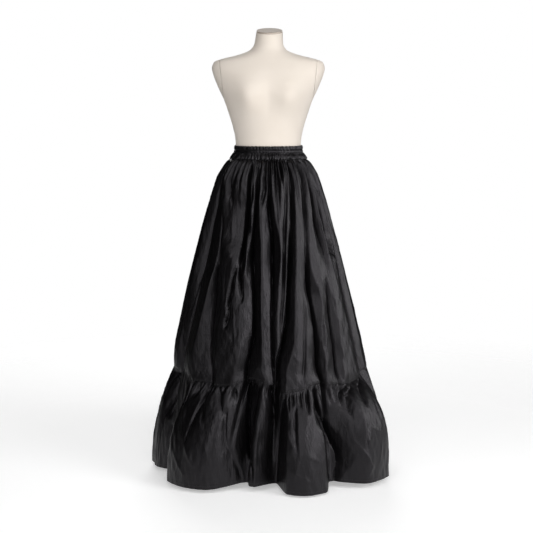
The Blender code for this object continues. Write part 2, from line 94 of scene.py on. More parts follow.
# The folds of the body and the tier are this much deeper than their tables say, and deeper
# still towards the wearer's left, up to the given sine of the angle.
BODY_DEEPER = 1.15
BODY_DEEPER_LEFT = 0.72
TIER_DEEPER = 1.0
TIER_DEEPER_LEFT = 0.39
LEFT_LIMIT = 0.766

# The gathers: their pitch, their depth, and how wide a valley's sides are as shares of it.
GATHER_PITCH_DEG = 10.0
BODY_GATHER_DEPTH = 0.0110
TIER_GATHER_DEPTH = 0.0085
GATHER_RISE = 0.21
GATHER_RUN = 0.36

# How strong each is right at its seam, and over which share of the way down it grows by one.
BODY_GATHER_START = (0.35, 0.05)
BODY_FACET_START = (0.3, 0.15)
TIER_FOLD_START = (0, 0.06)
TIER_GATHER_START = (0, 0.05)
TIER_FACET_START = (0, 0.2)

# The small tucks at a gathered seam.
# how many to a gather, depth, how far down they reach
BODY_TUCKS = [(2, 0.0080, 0.075), (4, 0.0028, 0.014)]
TIER_TUCKS = (4, 0.0060, 0.085)

# The facets of the crumpled cloth: height, length, and the size of the patches they come in.
BODY_FACETS = (0.0010, 0.030)
TIER_FACETS = (0.0013, 0.036)
PATCH_WIDTH = 0.055
PATCH_HEIGHT = 0.075
FACET_DIRECTIONS = 9

# How the body's edge dips under the waistband and into the tier's seam: depth, share of down.
CASING_DIP = (0.0028, 0.008)
SEAM_DIP = (0.0008, 0.006)
ROOM_SOFT = 0.0012

# Outline of the skirt's body, on the crests of its folds.
# height, half width, depth in front, depth behind, how far its middle lies towards +X
SKIRT_SECTIONS = [
    (1.0390, 0.1290, 0.1030, 0.1030, -0.001),
    (1.0310, 0.1375, 0.1110, 0.1120, -0.001),
    (1.0213, 0.1450, 0.1180, 0.1195, -0.001),
    (1.0114, 0.1520, 0.1240, 0.1270, -0.001),
    (1.0014, 0.1580, 0.1300, 0.1335, -0.001),
    (0.9816, 0.1685, 0.1395, 0.1450, -0.002),
    (0.9418, 0.1820, 0.1525, 0.1610, -0.002),
    (0.9020, 0.1945, 0.1645, 0.1740, -0.002),
    (0.8220, 0.2170, 0.1860, 0.1960, -0.003),
    (0.7417, 0.2385, 0.2070, 0.2165, -0.002),
    (0.6610, 0.2590, 0.2265, 0.2355, -0.002),
    (0.5800, 0.2785, 0.2460, 0.2540, -0.001),
    (0.4985, 0.2975, 0.2650, 0.2715, 0.000),
    (0.4167, 0.3150, 0.2820, 0.2880, 0.001),
    (0.3757, 0.3215, 0.2885, 0.2945, 0.004),
    (0.3450, 0.3240, 0.2950, 0.2990, 0.007),
    (0.3100, 0.3270, 0.3020, 0.3050, 0.007),
]

# The body's folds in front. From its valley a fold climbs to a crest on its right within its
# rise, and on its left within its run.
# down, angle of the valley; in millimetres: depth, rise, run
FRONT_FOLDS = [
    ((0.00, -82, 8, 40, 30), (0.08, -80, 12, 58, 30), (0.16, -77, 16, 72, 30),
     (0.23, -76, 21, 88, 30), (0.31, -74, 25, 108, 30), (0.40, -72, 27, 122, 30),
     (0.50, -71, 27, 128, 30), (0.56, -71, 27, 118, 30), (0.68, -71, 27, 105, 30),
     (0.80, -72, 27, 100, 28), (0.92, -74, 26, 100, 28), (1.03, -76, 22, 100, 28)),
    ((0.00, -68, 4, 12, 20), (0.08, -66, 10, 18, 30), (0.16, -60.5, 15, 24, 45),
     (0.23, -57, 17, 25, 50), (0.31, -52.5, 18, 27, 50), (0.40, -48.3, 16, 26, 45),
     (0.50, -45, 6, 20, 30), (0.54, -44, 0, 20, 20)),
    ((0.40, -44, 0, 20, 10), (0.50, -44.5, 14, 30, 10), (0.56, -44, 22, 40, 14),
     (0.62, -43.5, 27, 45, 20), (0.70, -43.2, 28, 45, 30), (0.79, -42.2, 28, 42, 42),
     (0.85, -41.3, 28, 40, 52), (0.93, -39.0, 28, 34, 62), (0.99, -37.4, 19, 19, 66)),
    ((0.00, -52.0, 5, 30, 8), (0.08, -50.5, 9, 40, 10), (0.13, -46.7, 8, 38, 10),
     (0.17, -41.2, 4, 30, 18), (0.21, -38, 0, 21, 24)),
    ((0.00, -19.8, 4, 6, 15), (0.08, -19.2, 8, 8, 30), (0.16, -18.4, 18, 12, 75),
     (0.22, -21.1, 26, 16, 105), (0.29, -20.5, 28, 17, 110), (0.34, -22.0, 28, 24, 90),
     (0.40, -22.2, 20, 22, 37), (0.46, -19.9, 10, 14, 21), (0.49, -17, 0, 5, 12)),
    ((0.46, -22.3, 8, 9, 9), (0.52, -20.9, 12, 13, 8), (0.56, -20.1, 12, 22, 11),
     (0.61, -18.7, 10, 18, 12), (0.64, -18, 0, 12, 15)),
    ((0.47, -24, 0, 4, 9), (0.50, -24.8, 7, 8, 10), (0.58, -26.3, 8, 9, 9), (0.64, -27.6, 9, 10, 9),
     (0.66, -27, 0, 8, 13)),
    ((0.67, -26, 0, 4, 10), (0.69, -26.6, 7, 8, 7), (0.72, -28.0, 8, 9, 6), (0.74, -28, 0, 4, 10)),
    ((0.00, -12.2, 3, 5, 8), (0.08, -11.8, 6, 6, 10), (0.16, -11.5, 9, 9, 10),
     (0.22, -11.5, 10, 10, 15), (0.30, -12.0, 16, 16, 20), (0.37, -13.5, 25, 25, 15),
     (0.44, -13.5, 28, 28, 11), (0.53, -11.3, 24, 24, 22), (0.62, -10.3, 22, 22, 31),
     (0.71, -9.6, 21, 21, 37), (0.79, -9.7, 24, 24, 37), (0.85, -11.2, 28, 32, 30),
     (0.90, -12.6, 28, 40, 29), (0.95, -14.5, 28, 49, 29), (1.00, -15.3, 28, 57, 29)),
    ((0.00, -3.9, 3, 4, 8), (0.08, -3.8, 5, 6, 10), (0.13, -3.1, 6, 7, 10), (0.18, -5.3, 6, 9, 8),
     (0.21, -6, 0, 7, 8)),
    ((0.00, 1.9, 3, 5, 7), (0.08, 1.9, 5, 6, 8), (0.16, 1.7, 8, 8, 11), (0.21, 1.3, 14, 14, 17),
     (0.29, 3.1, 16, 16, 23), (0.33, 4.1, 18, 18, 26), (0.43, 3.9, 22, 23, 26),
     (0.51, 3.7, 16, 18, 26), (0.60, 3.3, 11, 15, 26), (0.70, 2.5, 9, 14, 26),
     (0.81, 2.4, 9, 13, 26), (0.88, 2.6, 10, 14, 26), (0.93, 2.8, 14, 16, 26),
     (0.99, 2.9, 14, 15, 18)),
    ((0.00, 12.3, 3, 5, 10), (0.08, 12.0, 6, 6, 12), (0.13, 11.6, 4, 5, 12), (0.19, 10.9, 2, 4, 11),
     (0.23, 11, 0, 3, 11)),
    ((0.00, 17.4, 2, 4, 5), (0.04, 16.9, 4, 5, 7), (0.07, 16.5, 4, 5, 7), (0.09, 16, 0, 3, 6)),
    ((0.00, 22.8, 2, 3, 10), (0.08, 22.1, 3, 4, 13), (0.15, 19.4, 4, 4, 15), (0.22, 17.4, 4, 5, 15),
     (0.28, 15.8, 5, 5, 16), (0.33, 14.8, 6, 6, 13), (0.42, 13.0, 6, 6, 10), (0.50, 12.2, 7, 7, 13),
     (0.59, 10.8, 6, 6, 15), (0.68, 8.7, 5, 5, 12), (0.75, 7.9, 3, 4, 12), (0.80, 7.3, 2, 3, 12),
     (0.85, 6, 0, 3, 11)),
    ((0.00, 29.2, 4, 6, 13), (0.08, 28.3, 7, 7, 16), (0.16, 25.7, 7, 7, 15), (0.21, 24.4, 8, 8, 18),
     (0.29, 23.0, 9, 9, 18), (0.35, 20.7, 12, 12, 19), (0.43, 18.6, 14, 14, 16),
     (0.51, 16.5, 17, 17, 13), (0.59, 14.7, 17, 17, 13), (0.69, 12.9, 19, 19, 16),
     (0.75, 10.7, 24, 25, 13), (0.80, 9.1, 27, 30, 10), (0.86, 6.6, 23, 28, 11),
     (0.92, 5.1, 18, 22, 10), (0.98, 4.4, 16, 21, 10)),
    ((0.00, 46.0, 4, 6, 23), (0.08, 44.7, 7, 7, 29), (0.16, 40.6, 7, 7, 32), (0.21, 38.4, 7, 7, 31),
     (0.29, 36.6, 6, 6, 34), (0.36, 34.5, 5, 5, 33), (0.43, 32.6, 6, 6, 33), (0.48, 31.8, 9, 9, 37),
     (0.54, 31.7, 12, 15, 42), (0.61, 32.6, 18, 31, 47), (0.66, 32.8, 16, 27, 37),
     (0.71, 32.8, 15, 21, 38), (0.81, 31.9, 12, 13, 36), (0.89, 31.8, 17, 18, 42),
     (0.94, 31.1, 16, 16, 41), (0.99, 32.0, 10, 11, 40)),
    ((0.62, 27, 0, 5, 19), (0.70, 25.2, 4, 7, 24), (0.80, 22.6, 2, 4, 23), (0.87, 21.7, 3, 5, 23),
     (0.93, 20.0, 3, 5, 22), (0.96, 19, 0, 6, 18)),
    ((0.70, 38.7, 0, 6, 7), (0.76, 37.3, 3, 5, 7), (0.82, 35.9, 2, 4, 7), (0.85, 35, 0, 4, 6)),
    ((0.00, 57.2, 4, 7, 16), (0.08, 55.5, 8, 8, 18), (0.16, 53.7, 11, 10, 20),
     (0.23, 52.9, 13, 11, 24), (0.29, 52.6, 15, 12, 30), (0.36, 53.4, 12, 12, 36),
     (0.42, 53.6, 7, 12, 40), (0.50, 52, 2, 12, 40), (0.56, 51, 0, 12, 40)),
    ((0.52, 48, 0, 20, 34), (0.62, 47.9, 9, 21, 40), (0.70, 46.9, 12, 23, 40),
     (0.81, 46.0, 12, 22, 40), (0.88, 45.7, 13, 23, 44), (0.94, 44.3, 12, 22, 44),
     (0.99, 44.5, 5, 17, 44)),
    ((0.00, 70.4, 8, 15, 24), (0.11, 68.4, 13, 19, 30), (0.23, 65.1, 12, 16, 33),
     (0.30, 66.6, 13, 19, 35), (0.36, 68.4, 13, 26, 44), (0.41, 65.2, 13, 19, 34),
     (0.44, 64, 0, 13, 33)),
    ((0.00, 62, 4, 6, 14), (0.09, 61, 4, 6, 16), (0.17, 60, 0, 6, 16)),
    ((0.00, 75, 4, 10, 18), (0.10, 75, 6, 11, 22), (0.22, 76, 5, 12, 26), (0.33, 76, 0, 12, 30)),
    ((0.00, -82, 5, 20, 20), (0.15, -80, 10, 28, 25), (0.32, -76, 13, 35, 35),
     (0.47, -74, 12, 35, 40), (0.62, -73, 4, 30, 40), (0.80, -74, 0, 30, 40)),
    ((0.00, 79, 3, 20, 30), (0.33, 77, 6, 24, 40), (0.67, 72, 8, 28, 50), (1.00, 70, 7, 30, 50)),
    ((0.50, -80, 0, 20, 30), (0.70, -78, 6, 25, 40), (1.00, -77, 9, 30, 50)),
]

# The folds behind, and at the sides.
# angles at the waist, a third down, two thirds down and the tier; in millimetres: the depths
# there, and the width; how far the fold leans over
BACK_FOLDS = [
    (103, 106, 110, 114, 5, 14, 18, 22, 20, 0.2),
    (112, 113, 118, 121, 3, 4, 6, 3, 11, 0.0),
    (119, 122, 124, 128, 5, 9, 6, 4, 15, -0.2),
    (134, 137, 139, 142, 5, 18, 24, 26, 20, 0.3),
    (143, 144, 148, 150, 4, 5, 3, 1, 10, 0.0),
    (150, 152, 155, 158, 4, 11, 13, 10, 14, 0.0),
    (158, 161, 163, 166, 3, 3, 5, 4, 10, 0.0),
    (165, 169, 172, 176, 5, 17, 22, 26, 18, -0.3),
    (181, 183, 187, 191, 5, 12, 7, 3, 13, 0.2),
    (188, 190, 195, 199, 3, 4, 6, 5, 10, 0.0),
    (197, 199, 204, 208, 5, 18, 23, 28, 20, 0.3),
    (206, 208, 212, 217, 3, 5, 3, 4, 10, 0.0),
    (214, 217, 221, 226, 4, 12, 14, 10, 16, -0.2),
    (223, 226, 230, 233, 3, 4, 6, 3, 11, 0.0),
    (231, 235, 239, 243, 5, 16, 20, 24, 22, 0.2),
    (252, 252, 256, 257, 3, 8, 10, 10, 24, 0.0),
]
BACK_STATIONS = (0, 1 / 3, 2 / 3, 1)

# How deep the body's cloth may lie in at the sides before it meets the form.
# down, depth
BODY_ROOM = [
    (0, 0.006), (0.0115, 0.011), (0.04, 0.017), (0.083, 0.0203), (0.14, 0.0233), (0.20, 0.032),
    (0.31, 0.058), (1, 0.200),
]

# Where the part's large folds start at the waist: each holds a gather's valley.
FOLD_STARTS = [
    -76, -56, -43, -33, -19, -10, 1, 16, 33, 44, 61, 77, 103, 119, 134, 150, 165, 181,
    197, 214, 231, 252,
]

# How far the tier's seam hangs below its height at the sides.
# angle, drop
SEAM_DROPS = [
    (-90, 0.000), (-60, -0.009), (-48, 0.012), (-30, 0.016), (-20, 0.007), (-10, -0.009),
    (1, 0.006), (9, 0.030), (17, 0.025), (26, 0.009), (35, 0.014), (48, 0.022), (60, 0.017),
    (74, 0.000), (90, 0.000), (112, 0.013), (140, -0.005), (163, 0.018), (190, 0.001),
    (218, 0.016), (244, 0.003),
]

# The lobes that the tier hangs in. A lobe starts at its valley and has a crest from one
# shoulder to the other.
# valley angle at the seam, at the hem, its radius; first shoulder's angle, radius;
# second shoulder's angle, radius; how far the lobe's hem hangs below the common hem; how
# steeply it swells out under the seam
TIER_LOBES = [
    (-113, -112, 0.345, -100, 0.384, -82, 0.386, 0.010, 2.1),
    (-58, -62, 0.335, -53, 0.408, -31, 0.402, 0.010, 2.3),
    (-6, -13, 0.300, -10.5, 0.336, -6, 0.332, 0.003, 1.9),
    (7, 5, 0.286, 9, 0.378, 26.5, 0.400, 0.016, 2.4),
    (33, 35, 0.345, 49, 0.434, 74, 0.388, 0.005, 3.9),
    (100, 101, 0.370, 111, 0.390, 128, 0.378, 0.004, 2.5),
    (139, 140, 0.315, 150, 0.384, 166, 0.388, 0.012, 2.3),
    (176, 178, 0.310, 187, 0.376, 203, 0.382, 0.002, 2.2),
    (208, 211, 0.316, 220, 0.386, 238, 0.388, 0.009, 2.3),
]

# The folds inside the tier's lobes, in the same way as the body's in front.
TIER_FOLDS = [
    ((0.09, -81.4, 19, 31, 45), (0.18, -76.4, 22, 32, 50), (0.28, -73.8, 22, 33, 50),
     (0.39, -72.2, 15, 30, 40), (0.50, -70.8, 0, 18, 35)),
    ((0.00, -52.0, 6, 10, 17), (0.10, -51.0, 10, 13, 23), (0.19, -49.5, 8, 12, 24),
     (0.27, -49, 0, 9, 24)),
    ((0.00, -45.5, 5, 7, 15), (0.08, -44.8, 8, 10, 18), (0.16, -44, 0, 7, 16)),
    ((0.04, -40.0, 4, 8, 15), (0.14, -37.0, 7, 14, 15), (0.22, -34.0, 7, 16, 17),
     (0.29, -31.6, 3, 9, 21), (0.33, -30.0, 0, 7, 19)),
    ((0.02, -29.8, 5, 9, 12), (0.10, -27.2, 8, 16, 26), (0.18, -24.6, 8, 18, 24),
     (0.26, -22.2, 5, 13, 19), (0.32, -20.6, 0, 7, 17)),
    ((0.22, -21.2, 0, 8, 21), (0.28, -20.4, 6, 7, 20), (0.38, -19.6, 6, 7, 22),
     (0.53, -18.2, 5, 6, 23), (0.69, -15.2, 4, 7, 22), (0.86, -11.6, 5, 9, 22),
     (0.95, -9.6, 1, 6, 24)),
    ((0.00, -22.4, 5, 6, 14), (0.09, -19.6, 8, 9, 15), (0.20, -17.0, 0, 5, 13)),
    ((0.00, -13.0, 19, 28, 20), (0.11, -12.2, 22, 35, 24), (0.23, -11.0, 22, 35, 25),
     (0.35, -10.4, 22, 34, 29), (0.49, -9.2, 22, 30, 34), (0.68, -7.4, 22, 27, 32),
     (0.83, -3.4, 9, 9, 39), (0.94, -2.8, 4, 4, 31)),
    ((0.02, 0.8, 13, 18, 15), (0.10, 1.6, 16, 20, 17), (0.20, 3.0, 13, 16, 18),
     (0.32, 4.2, 7, 12, 17), (0.44, 5.4, 0, 9, 17)),
    ((0.04, -2.4, 4, 5, 11), (0.12, -1.2, 3, 5, 10), (0.21, 0.0, 0, 4, 10)),
    ((0.12, 14.0, 0, 4, 12), (0.19, 13.8, 4, 4, 12), (0.35, 13.6, 5, 5, 11), (0.51, 13.8, 2, 4, 12),
     (0.59, 14.0, 0, 4, 12)),
    ((0.04, 20.4, 3, 4, 12), (0.11, 20.2, 6, 6, 15), (0.18, 20.2, 5, 6, 14),
     (0.23, 20.4, 0, 4, 15)),
    ((0.14, 25.6, 0, 9, 16), (0.21, 25.4, 13, 14, 19), (0.29, 25.8, 19, 21, 19),
     (0.41, 26.2, 0, 9, 20)),
    ((0.03, 10.4, 4, 4, 8), (0.11, 10.4, 4, 4, 6), (0.19, 10.6, 0, 4, 9)),
    ((0.02, 13.0, 4, 4, 7), (0.09, 12.8, 3, 4, 7), (0.14, 12.6, 0, 4, 10)),
    ((0.01, 16.8, 4, 4, 8), (0.09, 16.6, 4, 4, 11), (0.17, 16.8, 0, 4, 10)),
    ((0.00, 26.8, 10, 10, 16), (0.09, 25.6, 12, 11, 18), (0.20, 26.3, 14, 13, 20),
     (0.31, 28.4, 13, 14, 24), (0.40, 31.0, 13, 16, 35), (0.48, 33.5, 12, 20, 45),
     (0.58, 35.6, 13, 24, 50), (0.67, 37.4, 15, 26, 50), (0.75, 38.0, 15, 24, 50),
     (0.83, 37.6, 12, 18, 50), (0.92, 36.4, 8, 12, 50), (0.99, 35.8, 5, 10, 50)),
    ((0.01, 47.4, 6, 7, 27), (0.11, 41.6, 9, 9, 13), (0.20, 40.8, 3, 5, 11),
     (0.26, 40.4, 0, 4, 11)),
    ((0.00, 41.2, 10, 13, 15), (0.10, 39.4, 5, 7, 10), (0.19, 38.6, 0, 4, 9)),
    ((0.01, 51.4, 3, 4, 12), (0.12, 44.8, 7, 9, 15), (0.22, 43.2, 9, 10, 14),
     (0.31, 42.8, 3, 5, 13), (0.37, 42.6, 0, 4, 12)),
    ((0.00, 64.0, 5, 7, 25), (0.07, 56.6, 9, 13, 20), (0.16, 53.0, 5, 11, 18),
     (0.22, 51.8, 0, 7, 18)),
    ((0.01, 35.0, 3, 4, 9), (0.10, 35.0, 4, 5, 16), (0.20, 35.4, 0, 4, 12)),
    ((0, 112, 5, 24, 30), (0.5, 114, 12, 26, 35), (1, 116, 13, 28, 40)),
    ((0, 126, 5, 12, 22), (0.5, 124, 8, 16, 30), (1, 122, 4, 20, 30)),
    ((0, 150, 6, 20, 30), (0.5, 152, 13, 26, 40), (1, 154, 13, 28, 50)),
    ((0, 164, 5, 10, 22), (0.5, 165, 8, 14, 30), (0.9, 166, 0, 14, 30)),
    ((0, 190, 6, 16, 30), (0.5, 192, 13, 24, 40), (1, 194, 13, 26, 50)),
    ((0, 222, 6, 20, 26), (0.5, 224, 12, 28, 40), (1, 226, 11, 30, 45)),
    ((0, 236, 4, 12, 20), (0.5, 235, 7, 16, 28), (1, 233, 8, 20, 34)),
    ((0, 256, 5, 16, 26), (0.5, 254, 9, 20, 34), (1, 252, 9, 24, 40)),
    ((0, 276, 4, 14, 22), (0.5, 275, 8, 18, 30), (1, 277, 7, 22, 34)),
    ((0, 72, 4, 10, 20), (0.26, 71, 7, 12, 26), (1, 70, 6, 18, 34)),
    ((0, 82, 4, 12, 20), (0.26, 81, 6, 14, 26), (0.8, 84, 0, 18, 30)),
]

# Short sharp creases that show in front, on the body and on the tier.
# angle and down at one end, at the other end; in millimetres: half width, and height, which is
# negative for a trough
BODY_CREASES = [
    (-21.5, 0.455, -14.5, 0.495, 4, 2.4), (-14.5, 0.495, -27, 0.560, 4, 2),
    (-25, 0.500, -17, 0.535, 4.5, 1.8), (-28, 0.590, -16, 0.640, 5, -2.2),
    (-16, 0.640, -23, 0.700, 4.5, 2), (-26, 0.700, -17, 0.745, 4, 1.8),
    (-17, 0.760, -27, 0.810, 4.5, -2), (-29, 0.820, -20, 0.850, 4, 1.6),
    (-2.5, 0.520, 2, 0.545, 3.5, 2), (52, 0.276, 61, 0.300, 3.5, 3.2),
    (52, 0.300, 60, 0.322, 4.5, -3.4), (45, 0.330, 53, 0.300, 4, 2),
    (38, 0.620, 45, 0.665, 4.5, 2), (22, 0.730, 30, 0.770, 4.5, -1.8),
    (8, 0.240, 14, 0.290, 3.5, 1.8), (-58, 0.500, -52, 0.560, 5, 2.2),
    (-44, 0.700, -38, 0.760, 5, -2), (62, 0.440, 68, 0.500, 5, 2.2),
    (54, 0.780, 62, 0.820, 5, -2.2), (-38, 0.220, -32, 0.400, 4, 2.2),
    (-30, 0.560, -27, 0.780, 3.5, 2), (-24, 0.620, -20, 0.860, 3.5, 2),
    (-33, 0.480, -30, 0.640, 3.5, -1.8), (-8, 0.480, -4, 0.720, 3.5, 1.8),
    (14, 0.520, 10, 0.640, 3.5, -2), (12, 0.360, 15.5, 0.460, 3.5, 2),
    (27, 0.340, 31, 0.460, 3.5, 2), (24, 0.480, 36, 0.600, 4.5, -2.6),
    (40, 0.460, 46, 0.640, 4.5, 2.2), (56, 0.420, 60, 0.640, 4.5, 2),
    (12, 0.820, 20, 0.900, 4, 2),
]
TIER_CREASES = [
    (39.5, 0.460, 49.5, 0.880, 6, 5.2), (45.5, 0.340, 41, 0.540, 5, 3.2),
    (49, 0.800, 45, 0.960, 5.5, 2.5), (62, 0.420, 68, 0.640, 6, -3),
    (-52, 0.300, -49, 0.600, 6, 2.2), (-34, 0.250, -30, 0.420, 5, 2.2),
    (-47, 0.200, -40, 0.540, 7, 3.8), (-40, 0.500, -29, 0.800, 8, 4),
    (-47, 0.620, -34, 0.900, 6, 2.6), (-38, 0.700, -42, 0.940, 5, 2),
    (-27, 0.500, -21, 0.800, 5, 2.2), (8, 0.300, 15, 0.620, 4.5, 2.2),
    (15, 0.620, 12, 0.900, 5, 2), (16, 0.560, 25, 0.720, 4.5, 2.4),
    (9, 0.720, 21, 0.900, 5, 2.2), (22, 0.350, 27, 0.600, 4.5, 2),
    (44, 0.300, 56, 0.520, 5, 2.8), (56, 0.520, 52, 0.860, 5, 2.2),
    (60, 0.700, 70, 0.900, 5, 2.2), (-66, 0.350, -61, 0.700, 5, 2.4),
]

# The dress form's sections, as in the part's source.
# height, half width, depth in front, depth behind
FORM_BOTTOM_Z = 0.780
NECK_ROOT_Z = 1.3937
NECK_TOP_Z = 1.4514
NECK_TILT = math.tan(math.radians(12.8))
NECK_SHIFT = 0.004
FORM_SECTIONS = [
    (FORM_BOTTOM_Z, 0.1500, 0.1050, 0.1180),
    (0.8400, 0.1580, 0.1090, 0.1240),
    (0.9000, 0.1590, 0.1080, 0.1230),
    (0.9600, 0.1500, 0.1010, 0.1130),
    (1.0050, 0.1340, 0.0945, 0.1000),
    (CASING_Z + SEAM_GAP, 0.1182, 0.0895, 0.0915),
    (1.0500, 0.1140, 0.0878, 0.0888),
    (CHANNEL_Z, 0.1108, 0.0862, 0.0866),
    (1.0720, 0.1084, 0.0851, 0.0849),
    (WAIST_TOP_Z, 0.1073, 0.0844, 0.0840),
    (1.1102, 0.1095, 0.0850, 0.0838),
    (1.1397, 0.1157, 0.0880, 0.0850),
    (1.1790, 0.1274, 0.0930, 0.0900),
    (1.2183, 0.1406, 0.0980, 0.0970),
    (1.2378, 0.1480, 0.1005, 0.1005),
    (1.2574, 0.1576, 0.1020, 0.1040),
    (1.2867, 0.1705, 0.1010, 0.1080),
    (1.3159, 0.1813, 0.0930, 0.1080),
    (1.3354, 0.1851, 0.0840, 0.1030),
    (1.3549, 0.1777, 0.0720, 0.0930),
    (1.3646, 0.1536, 0.0660, 0.0860),
    (1.3743, 0.1123, 0.0600, 0.0780),
    (1.3840, 0.0802, 0.0550, 0.0690),
    (1.3937, 0.0597, 0.0500, 0.0600),
    (1.4131, 0.0472, 0.0460, 0.0520),
    (NECK_TOP_Z, 0.0432, 0.0440, 0.0450),
]
BUST_HEIGHT = 1.243
BUST_REACH = 0.074
BUST_SPREAD = 0.048
BUST_RISE = 0.056
BUST_DEPTH = 0.028
BLADE_HEIGHT = BUST_HEIGHT + 0.04
BLADE_RISE = 1.5 * BUST_RISE
BLADE_DEPTH = 0.008
ARM_PLANE_X = 0.1525
ARM_PLANE_Z = 1.295
ARM_PLANE_LEAN = 0.10
ARM_LOW_Z = 1.205


# Curves through tables of values.

def column(table, index):
    """One column of a table as an array."""
    return np.array([row[index] for row in table], dtype=float)


def steady_slopes(knots, values):
    """Slopes that keep a curve between its neighbouring values: level at each peak and dip."""
    rise = np.diff(values) / np.diff(knots)
    same_way = rise[:-1] * rise[1:]
    total = np.where(same_way > 0, rise[:-1] + rise[1:], 1.0)
    inner = np.where(same_way > 0, 2 * same_way / total, 0.0)
    return np.concatenate([rise[:1], inner, rise[-1:]])


def smooth(x, knots, values):
    """A smooth curve through the values at the rising knots, held at both ends."""
    knots, values = np.asarray(knots, dtype=float), np.asarray(values, dtype=float)
    x = np.clip(np.asarray(x, dtype=float), knots[0], knots[-1])
    slopes = steady_slopes(knots, values)
    i = np.clip(np.searchsorted(knots, x, side="right") - 1, 0, len(knots) - 2)
    step = knots[i + 1] - knots[i]
    f = (x - knots[i]) / step
    from_start = values[i] * (1 + 2 * f) * (1 - f) ** 2 + slopes[i] * step * f * (1 - f) ** 2
    from_end = values[i + 1] * f * f * (3 - 2 * f) - slopes[i + 1] * step * f * f * (1 - f)
    return from_start + from_end


def smooth_round(angle, knots, values):
    """The same curve round the body, where 360 degrees meets 0."""
    turns = [-360, 0, 360]
    all_knots = np.concatenate([knots + turn for turn in turns])
    return smooth(turned(angle), all_knots, np.concatenate([values] * len(turns)))


def turned(angle):
    """An angle brought to within half a turn of 0."""
    return (angle + 180) % 360 - 180


def leftwards(angle):
    """0 on the wearer's right half, and up to the limit on their left half."""
    return np.clip(np.sin(np.radians(angle)), 0, LEFT_LIMIT)


def oval(angle, half_width, front, behind):
    """A point of an oval section that is deeper behind than in front."""
    a = np.radians(angle)
    depth = np.where(np.cos(a) > 0, front, behind)
    return half_width * np.sin(a), -depth * np.cos(a)


# The folds, gathers and creases of the cloth.

def fold_shape(distance, rise, run):
    """A fold's cross-section: 1 in its valley and 0 past its crests, with nearly flat sides."""
    share = np.where(distance > 0, distance / rise, -distance / run)
    up = 1 + FOLD_VALLEY_SOFT - np.hypot(share, FOLD_VALLEY_SOFT)
    return (up + np.hypot(up, FOLD_CREST_SOFT)) / 2


def gather_angles():
    """The valleys of the body's gathers, with one where each large fold and side seam starts."""
    rng = random.Random(11)
    starts = sorted([turned(start) for start in FOLD_STARTS] + [-90, 90])
    angles = []
    for start, end in zip(starts, starts[1:] + [starts[0] + 360]):
        count = max(1, round((end - start) / GATHER_PITCH_DEG))
        widths = [rng.uniform(0.7, 1.3) for _ in range(count)]
        place = start
        for width in widths:
            angles.append(place)
            place += (end - start) * width / sum(widths)
    return np.array(angles)


def drawn(rng, count, low, high):
    """That many random values between two bounds."""
    return np.array([rng.uniform(low, high) for _ in range(count)])


def gather_reach(rng, angles, view_limit, in_view, hidden):
    """How far down each gather runs: within one range in view, and in another elsewhere."""
    return np.array([
        rng.uniform(*(in_view if abs(turned(angle)) < view_limit else hidden)) for angle in angles
    ])


GATHERS = gather_angles()
draws = random.Random(5)
GATHER_DEPTHS = drawn(draws, len(GATHERS), 0.55, 1.0)
GATHER_REACH = gather_reach(draws, GATHERS, 72, (0.07, 0.20), (0.10, 0.34))
TIER_GATHER_DEPTHS = drawn(draws, 2 * len(GATHERS), 0.5, 1.0)
TIER_GATHER_REACH = gather_reach(draws, np.repeat(GATHERS, 2), 65, (0.05, 0.12), (0.14, 0.45))
PINCHES = 4 * len(GATHERS)
PINCH_DEPTHS = drawn(draws, PINCHES, 0.3, 1.0)
PINCH_REACH = drawn(draws, PINCHES, 0.4, 1.6)
PINCH_SHIFT = drawn(draws, PINCHES + 1, -0.3, 0.3)


def gather_phase(angle):
    """Counts the gathers round the body: a whole number lies in a valley."""
    knots = np.append(GATHERS, GATHERS[0] + 360)
    return np.interp((angle - knots[0]) % 360, knots - knots[0], np.arange(len(knots)))


def gathers_inset(phase, down, depths, reach):
    """How deep the gathers lie in, each with its own depth and reach."""
    i = np.round(phase).astype(int) % len(depths)
    return depths[i] * np.exp(-(down / reach[i]) ** 2) * groove(phase)


def grown(down, start):
    """The share of its full depth that something has reached, from its start at a seam."""
    at_seam, growth = start
    return np.minimum(1, at_seam + down / growth)


def groove(phase):
    """A gather's cross-section: 1 in a sharp valley and 0 on its crests."""
    return fold_shape(phase - np.round(phase), GATHER_RISE, GATHER_RUN)


def pinches(angle, down, per_gather, depth, reach):
    """Small uneven tucks right at a gathered seam, which die out within a few centimetres."""
    count = per_gather * len(GATHERS)
    phase = per_gather * gather_phase(angle)
    phase = phase + np.interp(phase % count, np.arange(count + 1), PINCH_SHIFT[:count + 1])
    i = np.round(phase).astype(int) % count
    fade = np.exp(-(down / (reach * PINCH_REACH[i])) ** 1.5)
    return depth * PINCH_DEPTHS[i] * fade * groove(phase)


def folds_inset(folds, angle, down, radius):
    """How deep a table of folds lies in."""
    inset = np.zeros(np.broadcast(angle, down).shape)
    for stops in folds:
        downs, places, *sizes = [column(stops, i) for i in range(5)]
        place = smooth(down, downs, places)
        depth, rise, run = [smooth(down, downs, size / MM_PER_M) for size in sizes]
        away = np.radians(turned(angle - place)) * radius
        inset = inset + np.maximum(depth, 0) * fold_shape(away, rise, run)
        slit = np.clip(SLIT_SHARE * depth, 0, SLIT_DEPTH)
        inset = inset + slit * fold_shape(away, SLIT_WIDTH, SLIT_WIDTH)
    return inset


def wandering(folds):
    """The table of the folds behind in the form of the one in front."""
    table = []
    for row in folds:
        width, lean = row[8:]
        rise, run = 0.9 * width * (1 - lean), 1.5 * width * (1 + lean)
        table.append(tuple(
            (down, angle, depth, rise * (0.5 + 0.7 * down), run * (0.5 + 0.7 * down))
            for down, angle, depth in zip(BACK_STATIONS, row[0:4], row[4:8])
        ))
    return table


